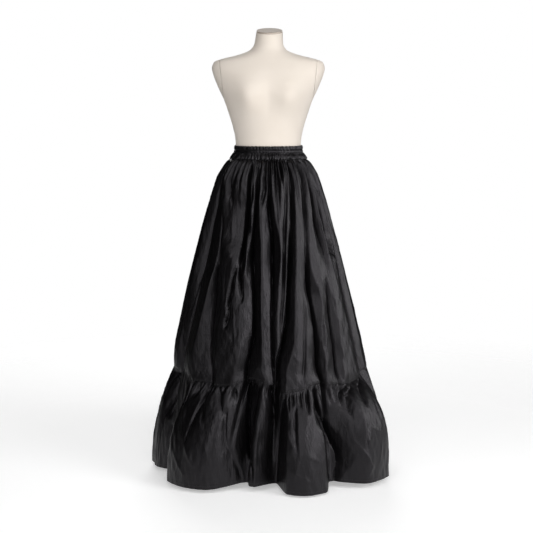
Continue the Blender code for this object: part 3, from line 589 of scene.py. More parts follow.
def crease_marks(seed, count, lowest, highest, front_share):
    """Small creases like the ones in view, on the hidden sides but for a share in front."""
    rng = random.Random(seed)
    marks = []
    for _ in range(count):
        angle = rng.uniform(-85, 85) if rng.random() < front_share else rng.uniform(70, 290)
        down = rng.uniform(lowest, highest)
        steep = rng.random() < 0.6
        lean = rng.uniform(-2.5, 2.5) if steep else rng.choice([-1, 1]) * rng.uniform(4, 9)
        drop = rng.uniform(0.06, 0.16) if steep else rng.uniform(0.02, 0.05)
        height = rng.uniform(0.8, 2.0) * rng.choice([-1, 1, 1])
        marks.append((angle, down, angle + lean, down + drop, rng.uniform(3, 6), height))
        if not steep:
            back = rng.uniform(-9, -4) * math.copysign(1, lean)
            marks.append((angle + lean, down + drop, angle + lean + back, down + drop * 2.2,
                          rng.uniform(3, 5), 0.7 * height))
    return marks


def crease_lift(marks, angle, down, radius, height):
    """How far the creases stand proud of the cloth, or lie under it."""
    lift = np.zeros(np.broadcast(angle, down).shape)
    for start_angle, start_down, end_angle, end_down, width, rise in marks:
        along_x = np.radians(turned(angle - start_angle)) * radius
        along_z = (down - start_down) * height
        run_x = math.radians(end_angle - start_angle) * radius
        run_z = (end_down - start_down) * height
        run = np.hypot(run_x, run_z)
        share = (along_x * run_x + along_z * run_z) / run ** 2
        off = (along_x * run_z - along_z * run_x) / run
        end = np.clip(1 - (2 * share - 1) ** 2, 0, 1)
        lift = lift + rise / MM_PER_M * end ** 1.2 * np.exp(-np.abs(off) * MM_PER_M / width)
    return lift


def crumple(angle, down, radius, height, seed, fold_length):
    """Crisp, shallow facets all over the cloth, between about -1 and 1, stronger in patches."""
    rng = random.Random(seed)
    across = np.radians(angle) * radius
    below = down * height
    total = np.zeros(np.broadcast(angle, down).shape)
    patches = np.zeros(total.shape)
    for _ in range(FACET_DIRECTIONS):
        lean = rng.choice([-1, 1]) * rng.uniform(4, 38)
        length = fold_length * rng.uniform(0.6, 1.7)
        shift = rng.uniform(0, 1)
        bend_x, bend_z = rng.uniform(0, 6.28), rng.uniform(0, 6.28)
        bent = 0.15 * np.sin(across / (1.9 * fold_length) + bend_x) \
            + 0.20 * np.sin(below / (2.3 * fold_length) + bend_z)
        t = (across * math.cos(math.radians(lean)) + below * math.sin(math.radians(lean))) / length
        t = t + bent + shift
        total = total + 4 * np.abs(t - np.round(t)) - 1
        patches = patches + np.sin(across / PATCH_WIDTH + 2 * bend_z) \
            * np.sin(below / PATCH_HEIGHT + 2 * bend_x)
    strength = np.clip(0.55 + 0.55 * patches / FACET_DIRECTIONS ** 0.5, 0.12, 1.3)
    return strength * total / FACET_DIRECTIONS ** 0.5


# The surfaces of the skirt.

def skirt_oval(angle, z):
    """A point of the skirt's outline at a height."""
    heights = column(SKIRT_SECTIONS, 0)[::-1]
    *sizes, middle = [smooth(z, heights, column(SKIRT_SECTIONS, i)[::-1]) for i in (1, 2, 3, 4)]
    x, y = oval(angle, *sizes)
    return x + middle, y


def seam_height(angle):
    """The tier's seam, higher at the sides than on the lobes."""
    return TIER_Z - smooth_round(angle, column(SEAM_DROPS, 0), column(SEAM_DROPS, 1))


REAR_FOLDS = wandering(BACK_FOLDS)
BODY_MARKS = BODY_CREASES + crease_marks(31, 100, 0.12, 0.90, 0.0)
TIER_MARKS = TIER_CREASES + crease_marks(47, 60, 0.10, 0.80, 0.0)
BODY_LENGTH = CASING_Z - TIER_Z
TIER_LENGTH = TIER_Z - HEM_Z


def body_inset(angle, down, radius):
    """How far the folds, gathers and creases of the body lie in from its outline."""
    deeper = BODY_DEEPER + BODY_DEEPER_LEFT * leftwards(angle)
    inset = deeper * folds_inset(FRONT_FOLDS, angle, down, radius)
    inset = inset + folds_inset(REAR_FOLDS, angle, down, radius)
    gathers = gathers_inset(gather_phase(angle), down, GATHER_DEPTHS, GATHER_REACH)
    inset = inset + BODY_GATHER_DEPTH * grown(down, BODY_GATHER_START) * gathers
    for tucks in BODY_TUCKS:
        inset = inset + pinches(angle, down, *tucks)
    inset = inset - crease_lift(BODY_MARKS, angle, down, radius, BODY_LENGTH)
    facet, facet_length = BODY_FACETS
    facets = crumple(angle, down, radius, BODY_LENGTH, 3, facet_length)
    inset = inset + facet * grown(down, BODY_FACET_START) * facets
    for (depth, share), away in ((SEAM_DIP, 1 - down), (CASING_DIP, down)):
        inset = inset + depth * np.exp(-(away / share) ** 2)
    room = np.interp(down, column(BODY_ROOM, 0), column(BODY_ROOM, 1))
    room = room * (1 + 0.5 * np.abs(np.cos(np.radians(angle))))
    return (inset + room - np.hypot(inset - room, ROOM_SOFT)) / 2


def body_point(angle, down):
    """A point of the body's outer surface, from 0 at the casing to 1 at the tier's seam."""
    top = CASING_Z - SEAM_GAP / 2
    z = top + (seam_height(angle) + SEAM_GAP / 2 - top) * down
    x, y = skirt_oval(angle, z)
    radius = np.hypot(x, y)
    scale = 1 - body_inset(angle, down, radius) / radius
    return x * scale, y * scale, z


def lobe_knots():
    """The valleys, shoulders and crests: seam angle, hem angle, radius, drop and swell."""
    knots = []
    nexts = TIER_LOBES[1:] + [TIER_LOBES[0]]
    for lobe, following in zip(TIER_LOBES, nexts):
        seam, hem, radius, first, first_radius, second, second_radius, drop, swell = lobe
        seam_span = (following[0] - seam) % 360
        hem_span = (following[1] - hem) % 360
        knots.append((seam, hem, radius, 0.4 * drop, VALLEY_SWELL))
        crest = (first + second) / 2
        crest_radius = max(first_radius, second_radius) + CREST_BULGE
        line = ((first, first_radius), (crest, crest_radius), (second, second_radius))
        for shoulder, radius in line:
            share = ((shoulder - hem) % 360) / hem_span
            knots.append((seam + share * seam_span, hem + share * hem_span, radius, drop, swell))
    return knots


LOBE_KNOTS = lobe_knots()


def hem_point(angle):
    """The hem's plan and height below a point of the seam."""
    seam = column(LOBE_KNOTS, 0)
    turn = smooth_round(angle, seam, column(LOBE_KNOTS, 1) - seam)
    radius = smooth_round(angle, seam, column(LOBE_KNOTS, 2))
    drop = smooth_round(angle, seam, column(LOBE_KNOTS, 3))
    a = np.radians(angle + turn)
    return radius * np.sin(a), -radius * np.cos(a), HEM_Z - drop


def tier_inset(angle, down, radius):
    """How far the tier's folds, gathers and creases lie in from its lobes."""
    deeper = TIER_DEEPER + TIER_DEEPER_LEFT * leftwards(angle)
    inset = deeper * grown(down, TIER_FOLD_START) * folds_inset(TIER_FOLDS, angle, down, radius)
    gathers = TIER_GATHER_DEPTH * gathers_inset(
        2 * gather_phase(angle), down, TIER_GATHER_DEPTHS, TIER_GATHER_REACH)
    gathers = gathers + pinches(angle, down, *TIER_TUCKS)
    inset = inset + grown(down, TIER_GATHER_START) * gathers
    inset = inset - crease_lift(TIER_MARKS, angle, down, radius, TIER_LENGTH)
    facet, facet_length = TIER_FACETS
    facets = crumple(angle, down, radius, TIER_LENGTH, 8, facet_length)
    return inset + facet * grown(down, TIER_FACET_START) * facets


def tier_point(angle, down):
    """A point of the tier's outer surface, from 0 at its seam to 1 at the hem."""
    seam_x, seam_y, _ = body_point(angle, np.ones_like(angle))
    hem_x, hem_y, hem_z = hem_point(angle)
    swell = smooth_round(angle, column(LOBE_KNOTS, 0), column(LOBE_KNOTS, 4))
    out = 1 - (1 - down) ** swell
    x = seam_x + (hem_x - seam_x) * out
    y = seam_y + (hem_y - seam_y) * out
    top = seam_height(angle) - SEAM_GAP / 2
    z = top + (hem_z - top) * down
    radius = np.hypot(x, y)
    scale = 1 - tier_inset(angle, down, radius) / radius
    return x * scale, y * scale, z


def form_point(angle, z, outward=0.0):
    """A point of the dress form's skin, or of an oval that much outside it."""
    heights = column(FORM_SECTIONS, 0)
    sizes = [smooth(z, heights, column(FORM_SECTIONS, i)) for i in (1, 2, 3)]
    x, y = oval(angle, *(size + outward for size in sizes))
    side = np.exp(-((np.abs(x) - BUST_REACH) / BUST_SPREAD) ** 2)
    bust = BUST_DEPTH * side * np.exp(-((z - BUST_HEIGHT) / BUST_RISE) ** 2)
    blade = BLADE_DEPTH * side * np.exp(-((z - BLADE_HEIGHT) / BLADE_RISE) ** 2)
    facing = np.cos(np.radians(angle))
    y = y - bust * np.clip(facing, 0, 1) ** 0.5 + blade * np.clip(-facing, 0, 1) ** 0.5
    return x, y, z


# Making meshes.

def grid_of(point, angles, downs):
    """The points of a surface on a grid of angles and downs."""
    angle, down = np.meshgrid(angles, downs)
    return np.stack(np.broadcast_arrays(*point(angle, down)), axis=-1)


def cloth_sheet(name, grid, around):
    """A sheet of quads over a grid of points, with its cloth coordinates in metres."""
    rows, columns = grid.shape[:2]
    last = columns if around else columns - 1
    faces = [
        (i * columns + j, (i + 1) * columns + j, (i + 1) * columns + (j + 1) % columns,
         i * columns + (j + 1) % columns)
        for i in range(rows - 1) for j in range(last)
    ]
    mesh = bpy.data.meshes.new(name)
    mesh.from_pydata(grid.reshape(-1, 3).tolist(), [], faces)
    piece = bpy.data.objects.new(name, mesh)
    bpy.context.scene.collection.objects.link(piece)
    steps_across = np.linalg.norm(np.diff(grid, axis=1, append=grid[:, :1]), axis=-1).mean(axis=0)
    steps_down = np.linalg.norm(np.diff(grid, axis=0), axis=-1).mean(axis=1)
    across = np.concatenate([[0], np.cumsum(steps_across)])
    downwards = np.concatenate([[0], np.cumsum(steps_down)])
    layer = mesh.uv_layers.new(name="cloth")
    uv = []
    for i in range(rows - 1):
        for j in range(last):
            uv += [(across[j], downwards[i]), (across[j], downwards[i + 1]),
                   (across[j + 1], downwards[i + 1]), (across[j + 1], downwards[i])]
    layer.data.foreach_set("uv", np.array(uv, dtype=np.float32).ravel())
    return piece


def only(piece):
    """Selects one object and makes it the active one."""
    bpy.ops.object.select_all(action="DESELECT")
    piece.select_set(True)
    bpy.context.view_layer.objects.active = piece


def finish_cloth(piece, material, thickness=CLOTH):
    """Gives a sheet its thickness, smooth shading and material."""
    only(piece)
    piece.data.materials.append(material)
    solid = piece.modifiers.new("thickness", "SOLIDIFY")
    solid.thickness = thickness
    solid.offset = -1
    bpy.ops.object.modifier_apply(modifier=solid.name)
    bpy.ops.object.shade_smooth_by_angle(angle=math.radians(60))


# The grids of the skirt's halves: how many columns and rows, how much closer the rows lie at
# the top and at the lower edge, and the columns at the sides. The stitches follow a row, which
# is counted from the lower edge.
BODY_COLUMNS, BODY_ROWS = {"front": 560, "back": 400}, 87
TIER_COLUMNS, TIER_ROWS = {"front": 620, "back": 440}, 77
CLOSER_AT_TOP = 0.8
CLOSER_AT_EDGE = 0.5
SIDE_SPREAD = 0.2
BODY_SEWN_ROW = 2
TIER_SEWN_ROW = 6


def close_rows(count):
    """Rows from 0 to 1 that lie closer at the top and at the lower edge."""
    t = np.linspace(0, 1, count)
    wave = -np.sin(2 * math.pi * t) / (2 * math.pi)
    return t + CLOSER_AT_TOP * wave * (1 - t) + CLOSER_AT_EDGE * wave * t


def make_skirt_half(side, front, material, thread):
    """The front or back of the skirt's body and of its tier, each with its row of stitches."""
    start = -90 if front else 90
    aside = -SEAM_GAP / 2 if front else SEAM_GAP / 2
    pieces = []
    for label, point, columns, rows, node, sewn in (
        ("body", body_point, BODY_COLUMNS, BODY_ROWS, f"skirt_{side}", BODY_SEWN_ROW),
        ("tier", tier_point, TIER_COLUMNS, TIER_ROWS, f"hem_tier_{side}", TIER_SEWN_ROW),
    ):
        t = np.linspace(-1, 1, columns[side])
        angles = start + 90 + 90 * t * (1 - SIDE_SPREAD + SIDE_SPREAD * t * t)
        grid = grid_of(point, angles, close_rows(rows))
        grid[:, [0, -1], 1] = aside
        piece = cloth_sheet(f"{label}_{side}_cloth", grid, around=False)
        finish_cloth(piece, material)
        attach(piece, "root")
        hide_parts(node)
        stitches = stitch_rows(f"{label}_{side}_stitches", grid, [rows - sewn], False, thread)
        pieces.append((piece, stitches))
    return pieces


# Down the waistband: height, and how far the cloth stands out there from the elastic.
BAND_STOPS = [
    (WAIST_TOP_Z - 0.0006, 0.0004), (WAIST_TOP_Z, 0.0014), (1.0822, 0.0026), (1.0800, 0.0036),
    (1.0745, 0.0034), (1.0710, 0.0022), (1.0694, 0.0004), (1.0680, 0.0016), (1.0650, 0.0024),
    (1.0622, 0.0016), (CHANNEL_Z, 0.0002), (1.0592, 0.0026), (1.0550, 0.0050), (1.0500, 0.0068),
    (1.0450, 0.0082), (1.0418, 0.0086), (1.0402, 0.0080), (CASING_Z + SEAM_GAP, 0.0072),
    (CASING_Z + SEAM_GAP / 2, 0.0014), (1.0365, 0.0012),
]
BAND_SEAMS = [1.0694, CHANNEL_Z, 1.0402]
BAND_COLUMNS = 960
BAND_ROW_STEP = 0.0011
BAND_CLOTH = 0.0012

# How far the elastic's face lies outside the form, and how near to it a tuck may go.
ELASTIC_FACE = 0.0026
BAND_CLEAR = 0.0016
CLEAR_SOFT = 0.0006

# The tucks: how many lie round each channel, how deep they are, how wide their sides are as
# shares of their pitch, and how many degrees they may slant.
HEADER_TUCKS = 70
LOWER_TUCKS = 64
FINE_TUCKS = 104
HEADER_DEPTHS = (0.0036, 0.0014)
LOWER_DEPTHS = (0.0074, 0.0020)
TUCK_RISE = 0.42
TUCK_RUN = 0.56
TUCK_SLANT = 3.6
FULL_TUCK_PUFF = 0.0032

# The wave of the top edge: its height, and how far down it reaches.
EDGE_WAVE = 0.0007
EDGE_WAVE_REACH = 0.003


def band_tucks(rng, count):
    """One channel's tucks: where each starts, how deep it is and how it slants."""
    widths = drawn(rng, count, 0.5, 1.6)
    starts = np.concatenate([[0], np.cumsum(widths)]) / sum(widths) * 360
    depths = drawn(rng, count, 0.3, 1.0)
    slants = drawn(rng, count, -1, 1)
    return starts, depths, np.append(slants, slants[0])


def tuck_depth(angles, share, tucks, depth):
    """How deep a set of tucks lies in, a share of the way down its channel."""
    starts, depths, slants = tucks
    lean = np.interp(angles, starts, slants) * (share - 0.5) * TUCK_SLANT
    phase = np.interp((angles + lean) % 360, starts, np.arange(len(starts)))
    i = np.round(phase).astype(int) % len(depths)
    return depth * depths[i] * fold_shape(phase - np.round(phase), TUCK_RISE, TUCK_RUN)


def band_rows():
    """Heights down the waistband, and how far the cloth stands out at each."""
    rows = []
    for (z0, p0), (z1, p1) in zip(BAND_STOPS, BAND_STOPS[1:]):
        steps = max(1, round(abs(z1 - z0) / BAND_ROW_STEP))
        rows += [(z0 + (z1 - z0) * k / steps, p0 + (p1 - p0) * k / steps) for k in range(steps)]
    return rows + [BAND_STOPS[-1]]


def make_waistband(material, thread):
    """The elastic waistband: two stitched channels of cloth gathered on their elastics."""
    rng = random.Random(21)
    header, lower, fine = [
        band_tucks(rng, count) for count in (HEADER_TUCKS, LOWER_TUCKS, FINE_TUCKS)
    ]
    rows = band_rows()
    angles = 360 * np.arange(BAND_COLUMNS) / BAND_COLUMNS
    turns = np.radians(angles)
    outer = np.zeros((len(rows), BAND_COLUMNS, 3))
    for row, (z, puff) in enumerate(rows):
        low = z < CHANNEL_Z
        tucks, depths = (lower, LOWER_DEPTHS) if low else (header, HEADER_DEPTHS)
        high_z, low_z = (CHANNEL_Z, CASING_Z) if low else (WAIST_TOP_Z, CHANNEL_Z)
        share = (high_z - z) / (high_z - low_z)
        tuck = tuck_depth(angles, share, tucks, depths[0]) \
            + tuck_depth(angles, share, fine, depths[1])
        tuck = tuck * min(1, puff / FULL_TUCK_PUFF) ** 2 \
            * (0.75 + 0.25 * math.cos(2 * math.pi * share))
        puffs = puff * (1 + 0.18 * np.sin(turns * 9 + low))
        spare = ELASTIC_FACE + puffs - tuck - BAND_CLEAR
        stands_off = BAND_CLEAR + (spare + np.hypot(spare, CLEAR_SOFT)) / 2
        x, y, _ = form_point(angles, z, stands_off)
        edge = max(0.0, 1 - (WAIST_TOP_Z - z) / EDGE_WAVE_REACH)
        wave = EDGE_WAVE * edge * np.sin(turns * 61 + 2 * np.sin(turns * 7))
        outer[row] = np.stack(np.broadcast_arrays(x, y, z + wave), axis=-1)
    piece = cloth_sheet("waistband_cloth", outer, around=True)
    finish_cloth(piece, material, BAND_CLOTH)
    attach(piece, "root")
    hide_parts("waistband")
    heights = np.array([z for z, _ in rows])
    sewn = [int(np.argmin(np.abs(heights - z))) for z in BAND_SEAMS]
    return piece, stitch_rows("waistband_stitches", outer, sewn, True, thread)


# The sewing.

STITCH_PITCH = 0.0034
STITCH_LENGTH = 0.0026
STITCH_HALF = 0.00028

# Along a stitch: share of its length, and how far it stands out in half thicknesses.
STITCH_STATIONS = [(0.0, -0.5), (0.3, 1.0), (0.7, 1.0), (1.0, -0.5)]


def stitch_rows(name, grid, rows, around, material):
    """Rows of stitches that follow the rows of a sheet's outer face."""
    verts, faces = [], []
    for row in rows:
        path, beside = grid[row], grid[row - 1]
        if around:
            path, beside = np.vstack([path, path[:1]]), np.vstack([beside, beside[:1]])
        way = np.concatenate([[0], np.cumsum(np.linalg.norm(np.diff(path, axis=0), axis=1))])
        begins = np.arange(STITCH_PITCH, way[-1] - STITCH_PITCH, STITCH_PITCH)
        ends = [np.stack([np.interp(begins + step, way, path[:, i]) for i in range(3)], axis=1)
                for step in (0, STITCH_LENGTH)]
        over = np.stack([np.interp(begins, way, beside[:, i]) for i in range(3)], axis=1)
        for start, end, upper in zip(*ends, over):
            along = (end - start) / np.linalg.norm(end - start)
            out = np.cross(along, upper - start)
            out = out / np.linalg.norm(out)
            side = np.cross(out, along)
            first = len(verts)
            for share, lift in STITCH_STATIONS:
                place = start + share * (end - start)
                for turn in (-1, 1):
                    for rise in (-1, 1):
                        verts.append(place + STITCH_HALF * (turn * side + (lift + rise) * out))
            for k in (first, first + 4, first + 8):
                faces += [(k, k + 1, k + 5, k + 4), (k + 1, k + 3, k + 7, k + 5),
                          (k + 3, k + 2, k + 6, k + 7), (k + 2, k, k + 4, k + 6)]
            faces += [(first, first + 2, first + 3, first + 1),
                      (first + 12, first + 13, first + 15, first + 14)]
    mesh = bpy.data.meshes.new(name)
    mesh.from_pydata([tuple(vert) for vert in verts], [], faces)
    bm = bmesh.new()
    bm.from_mesh(mesh)
    bmesh.ops.recalc_face_normals(bm, faces=bm.faces)
    bm.to_mesh(mesh)
    bm.free()
    piece = bpy.data.objects.new(name, mesh)
    bpy.context.scene.collection.objects.link(piece)
    mesh.materials.append(material)
    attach(piece, "root")
    return piece


# The dress form.

FORM_ROUND = 128
FORM_RING_STEP = 0.006
PLATE_GAP = 0.0004
PLATE_ROUNDING = 0.0016
TORSO_ROUNDING = 0.0012


def form_heights():
    """Heights of the torso's rings, at the sections and evenly between them."""
    heights = []
    sections = column(FORM_SECTIONS, 0)
    for low, high in zip(sections, sections[1:]):
        steps = max(2, round((high - low) / FORM_RING_STEP))
        heights += [low + (high - low) * k / steps for k in range(steps)]
    return heights + [sections[-1]]


def shape_ring(z):
    """The points of one ring of the torso."""
    angles = 360 * np.arange(FORM_ROUND) / FORM_ROUND
    x, y, _ = form_point(angles, z)
    share = np.clip((z - NECK_ROOT_Z) / (NECK_TOP_Z - NECK_ROOT_Z), 0, 1)
    heights = z + NECK_TILT * share * y
    return np.stack(np.broadcast_arrays(x + NECK_SHIFT * share, y, heights), axis=-1)


def extrude_torso(name):
    """The torso drawn up from a ring, one extrusion to a height, and closed at both ends."""
    bpy.ops.object.select_all(action="DESELECT")
    bpy.ops.mesh.primitive_circle_add(vertices=FORM_ROUND, radius=0.15, fill_type="NGON")
    piece = bpy.context.active_object
    piece.name = name
    piece.data.name = name
    bpy.ops.object.mode_set(mode="EDIT")
    bpy.ops.mesh.select_all(action="SELECT")
    heights = np.array(form_heights())
    for low, high in zip(heights, heights[1:]):
        bpy.ops.mesh.extrude_region_move(TRANSFORM_OT_translate={"value": (0, 0, high - low)})
    bpy.ops.object.mode_set(mode="OBJECT")
    rings = [shape_ring(z) for z in heights]
    for vert in piece.data.vertices:
        turn = math.degrees(math.atan2(vert.co.x, -vert.co.y)) % 360
        level = int(np.argmin(np.abs(heights - heights[0] - vert.co.z)))
        place = round(turn * FORM_ROUND / 360) % FORM_ROUND
        vert.co = Vector(rings[level][place])
    return piece


def cut_away(piece, point, normal, above):
    """Cuts away what lies beyond a plane, above a height, and closes the cut."""
    bm = bmesh.new()
    bm.from_mesh(piece.data)
    verts = [vert for vert in bm.verts if vert.co.z > above]
    edges = [edge for edge in bm.edges if all(vert.co.z > above for vert in edge.verts)]
    faces = [face for face in bm.faces if all(vert.co.z > above for vert in face.verts)]
    bmesh.ops.bisect_plane(
        bm, geom=verts + edges + faces, dist=1e-6, plane_co=point, plane_no=normal,
        clear_outer=True,
    )
    rim = [edge for edge in bm.edges if edge.is_boundary]
    bmesh.ops.holes_fill(bm, edges=rim, sides=0)
    bmesh.ops.recalc_face_normals(bm, faces=bm.faces)
    bm.to_mesh(piece.data)
    bm.free()


def soften(piece, width):
    """Rounds a piece's sharp edges a little and shades it smooth."""
    only(piece)
    bevel = piece.modifiers.new("rounded", "BEVEL")
    bevel.width = width
    bevel.segments = 2
    bevel.limit_method = "ANGLE"
    bevel.angle_limit = math.radians(35)
    bpy.ops.object.modifier_apply(modifier=bevel.name)
    bpy.ops.object.shade_smooth_by_angle(angle=math.radians(45))


def make_form(linen):
    """The cloth-covered torso and its arm plates."""
    torso = extrude_torso("torso_cover")
    for name, node, side in (
        ("armplate_left_cover", "form_armplate_left", 1),
        ("armplate_right_cover", "form_armplate_right", -1),
    ):
        plate = extrude_torso(name)
        normal = Vector((side, 0, -ARM_PLANE_LEAN)).normalized()
        place = Vector((side * ARM_PLANE_X, 0, ARM_PLANE_Z))
        cut_away(plate, Vector((0, 0, ARM_LOW_Z)), Vector((0, 0, -1)), 0.0)
        cut_away(plate, place + normal * PLATE_GAP, -normal, 0.0)
        cut_away(torso, place - normal * PLATE_GAP, normal, ARM_LOW_Z)
        soften(plate, PLATE_ROUNDING)
        plate.data.materials.append(linen)
        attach(plate, "root")
        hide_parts(node)
    soften(torso, TORSO_ROUNDING)
    torso.data.materials.append(linen)
    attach(torso, "root")
    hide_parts("form_torso")
    return torso


# Finishes.

class Nodes:
    """Short calls for building a material's nodes."""

    def __init__(self, name):
        self.material = bpy.data.materials.new(name)
        self.material.use_nodes = True
        self.tree = self.material.node_tree
        self.shader = self.tree.nodes["Principled BSDF"]

    def add(self, kind, **inputs):
        """A node with its inputs and settings, named with underscores for spaces."""
        node = self.tree.nodes.new(kind)
        for key, value in inputs.items():
            name = key.replace("_", " ")
            if name in node.inputs:
                self.feed(node.inputs[name], value)
            else:
                setattr(node, key, value)
        return node

    def feed(self, socket, value):
        """Links a node's output to a socket, or sets the socket to a value."""
        if isinstance(value, bpy.types.NodeSocket):
            self.tree.links.new(value, socket)
        else:
            socket.default_value = value

    def place(self):
        """Coordinates on the piece, in metres."""
        return self.add("ShaderNodeTexCoord").outputs["Object"]

    def stretched(self, vector, *scale):
        """Coordinates scaled along each axis."""
        return self.add("ShaderNodeMapping", Vector=vector, Scale=scale).outputs["Vector"]

    def noise(self, vector, scale, detail, **more):
        """A cloudy value round one half."""
        node = self.add("ShaderNodeTexNoise", Vector=vector, Scale=scale, Detail=detail, **more)
        return node.outputs["Fac"]

    def bump(self, strength, distance, height, under=None):
        """Fine relief from a height, on top of the relief under it."""
        node = self.add("ShaderNodeBump", Strength=strength, Distance=distance, Height=height)
        if under is not None:
            self.feed(node.inputs["Normal"], under)
        return node.outputs["Normal"]

    def mix(self, share, first, second):
        """A colour between two, by a share."""
        node = self.add("ShaderNodeMix", data_type="RGBA")
        for index, value in ((0, share), (6, (*first, 1)), (7, (*second, 1))):
            self.feed(node.inputs[index], value)
        return node.outputs[2]

    def spread(self, value, low, high, to_low, to_high):
        """A value brought from one range to another."""
        node = self.add("ShaderNodeMapRange", Value=value, From_Min=low, From_Max=high,
                        To_Min=to_low, To_Max=to_high)
        return node.outputs["Result"]

    def finish(self, **inputs):
        """The material, once its shader's sockets are fed."""
        for key, value in inputs.items():
            self.feed(self.shader.inputs[key.replace("_", " ")], value)
        return self.material


def taffeta():
    """Crisp black taffeta: a fine plain weave with slubs, crumpled a little, with a soft sheen."""
    n = Nodes("black_taffeta")
    cloth = n.add("ShaderNodeUVMap", uv_map="cloth").outputs["UV"]
    weave = n.add("ShaderNodeMath", operation="MULTIPLY")
    for index, (scale, way) in enumerate(((350.0, "X"), (300.0, "Y"))):
        threads = n.add("ShaderNodeTexWave", Vector=cloth, Scale=scale, bands_direction=way)
        n.feed(weave.inputs[index], threads.outputs["Fac"])
    slub = n.noise(n.stretched(cloth, 6.0, 260.0, 1.0), 1.0, 3.0)
    tall = n.stretched(n.place(), 1.0, 1.0, 0.45)
    crush = n.noise(tall, 26.0, 5.0, Roughness=0.55)
    soft = n.noise(tall, 9.0, 2.0)
    rumple = n.noise(n.stretched(n.place(), 1.0, 1.0, 0.28), 95.0, 3.0)
    relief = n.bump(0.35, 0.009, crush)
    relief = n.bump(0.40, 0.0036, rumple, relief)
    relief = n.bump(0.10, 0.0006, slub, relief)
    relief = n.bump(0.12, 0.0002, weave.outputs[0], relief)
    return n.finish(
        Base_Color=n.mix(n.spread(slub, 0.35, 0.65, 0.0, 1.0),
                         (0.0007, 0.0006, 0.0007), (0.0018, 0.0016, 0.0018)),
        Roughness=n.spread(soft, 0.3, 0.7, 0.38, 0.46),
        Specular_IOR_Level=0.30,
        Specular_Tint=(0.97, 0.925, 1.0, 1),
        Normal=relief,
    )


def sewing_thread():
    """The black sewing thread: twisted, with a little sheen."""
    n = Nodes("black_thread")
    twist = n.noise(n.place(), 1500.0, 2.0)
    return n.finish(
        Base_Color=n.mix(twist, (0.004, 0.004, 0.004), (0.010, 0.009, 0.010)),
        Roughness=0.45,
        Normal=n.bump(0.3, 0.0002, twist),
    )


def linen():
    """The form's cream cover: a matte fine-woven cloth, smoothly stretched."""
    n = Nodes("cream_linen")
    place = n.place()
    cloudy = n.spread(n.noise(place, 7.0, 3.0), 0.3, 0.7, 0.0, 1.0)
    return n.finish(
        Base_Color=n.mix(cloudy, (0.78, 0.70, 0.615), (0.82, 0.745, 0.665)),
        Roughness=0.78,
        Sheen_Weight=0.15,
        Sheen_Roughness=0.5,
        Normal=n.bump(0.10, 0.0004, n.noise(place, 900.0, 2.0)),
    )


def cap_finish():
    """The neck cap's grey-beige paint."""
    n = Nodes("neck_cap_paint")
    grain = n.noise(n.place(), 60.0, 4.0)
    return n.finish(
        Base_Color=n.mix(grain, (0.42, 0.35, 0.29), (0.52, 0.44, 0.37)),
        Roughness=0.5,
    )


def steel_paint():
    """The stand's satin black paint, with a faint unevenness and dust."""
    n = Nodes("painted_steel")
    place = n.place()
    dust = n.noise(place, 14.0, 4.0)
    return n.finish(
        Base_Color=n.mix(n.spread(dust, 0.4, 0.7, 0.0, 1.0),
                         (0.035, 0.035, 0.036), (0.060, 0.058, 0.056)),
        Roughness=n.spread(dust, 0.3, 0.7, 0.34, 0.50),
        Normal=n.bump(0.06, 0.0004, n.noise(place, 180.0, 2.0)),
    )


def floor_finish():
    """The plain pale floor, which runs out into the backdrop."""
    n = Nodes("pale_floor")
    place = n.place()
    away = n.add("ShaderNodeVectorMath", operation="LENGTH")
    n.feed(away.inputs[0], place)
    return n.finish(
        Base_Color=n.mix(n.noise(place, 4.0, 3.0), (0.86, 0.86, 0.86), (0.88, 0.88, 0.88)),
        Roughness=0.7,
        Emission_Color=(1, 1, 1, 1),
        Emission_Strength=FLOOR_GLOW,
        Alpha=n.spread(away.outputs["Value"], FLOOR_FADES_FROM, FLOOR_RADIUS, 1.0, 0.0),
    )


def repaint(node, material):
    """Gives a CAD node that stays its finished material."""
    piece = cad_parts[node]
    for slot in piece.material_slots:
        slot.material = material


# The studio.

def make_camera():
    """A camera at the photograph's viewing angle, with its framing."""
    data = bpy.data.cameras.new("camera")
    camera = bpy.data.objects.new("camera", data)
    bpy.context.scene.collection.objects.link(camera)
    camera.location = CAMERA_PLACE
    camera.rotation_euler = (math.radians(90 - CAMERA_PITCH), 0, 0)
    data.sensor_width = SENSOR_MM
    data.lens = FOCAL_PIXELS * SENSOR_MM / FRAME_PIXELS
    data.clip_end = CLIP_END
    bpy.context.scene.camera = camera


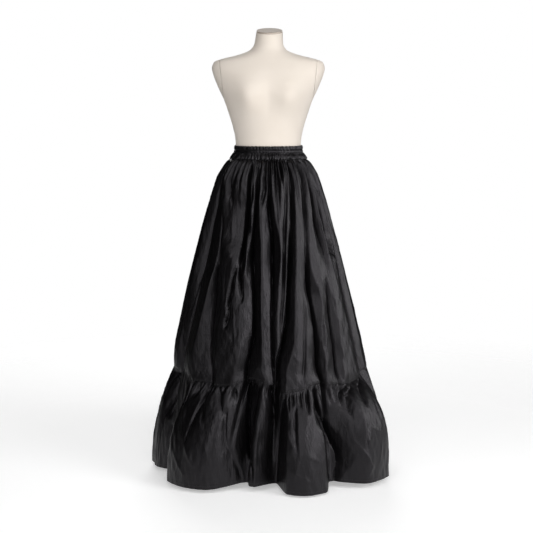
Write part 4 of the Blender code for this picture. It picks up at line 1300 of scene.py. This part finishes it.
def softbox(name, place, target, width, height, power):
    """A rectangular soft light that points at a place."""
    data = bpy.data.lights.new(name, "AREA")
    data.shape = "RECTANGLE"
    data.size = width
    data.size_y = height
    data.energy = power
    lamp = bpy.data.objects.new(name, data)
    bpy.context.scene.collection.objects.link(lamp)
    lamp.location = place
    lamp.visible_camera = False
    aim = Vector(target) - Vector(place)
    lamp.rotation_euler = aim.to_track_quat("-Z", "Y").to_euler()
    return lamp


def backdrop_finish():
    """The evenly lit white backdrop."""
    material = bpy.data.materials.new("white_backdrop")
    material.use_nodes = True
    tree = material.node_tree
    tree.nodes.remove(tree.nodes["Principled BSDF"])
    glow = tree.nodes.new("ShaderNodeEmission")
    glow.inputs["Strength"].default_value = 1.0
    tree.links.new(glow.outputs[0], tree.nodes["Material Output"].inputs["Surface"])
    return material


def make_studio():
    """The floor, the backdrop all round it and the soft lights."""
    bpy.ops.object.select_all(action="DESELECT")
    bpy.ops.mesh.primitive_circle_add(vertices=96, radius=FLOOR_RADIUS, fill_type="NGON")
    floor = bpy.context.active_object
    floor.name = "floor"
    floor.data.materials.append(floor_finish())
    bpy.ops.mesh.primitive_uv_sphere_add(segments=48, ring_count=24, radius=BACKDROP_RADIUS)
    backdrop = bpy.context.active_object
    backdrop.name = "backdrop"
    backdrop.data.materials.append(backdrop_finish())
    backdrop.visible_diffuse = False
    backdrop.visible_glossy = False
    backdrop.visible_shadow = False
    world = bpy.data.worlds.new("studio")
    bpy.context.scene.world = world
    world.use_nodes = True
    background = world.node_tree.nodes["Background"]
    background.inputs["Color"].default_value = (1, 1, 1, 1)
    background.inputs["Strength"].default_value = SURROUNDING_LIGHT
    lamps = {row[0]: softbox(*row) for row in LIGHTS}
    lamps["left"].visible_glossy = False
    lamps["sheen_right"].visible_diffuse = False
    bpy.context.scene.view_settings.view_transform = "Standard"


def main():
    """Builds the scene."""
    make_camera()
    black = taffeta()
    cream = linen()
    thread = sewing_thread()
    band, band_stitches = make_waistband(black, thread)
    torso = make_form(cream)
    for side, front in (("front", True), ("back", False)):
        (body, seam), (tier, hem) = make_skirt_half(side, front, black, thread)
    repaint("form_neck_cap", cap_finish())
    steel = steel_paint()
    for node in ("form_socket", "form_pole", "form_base"):
        repaint(node, steel)
    make_studio()


main()
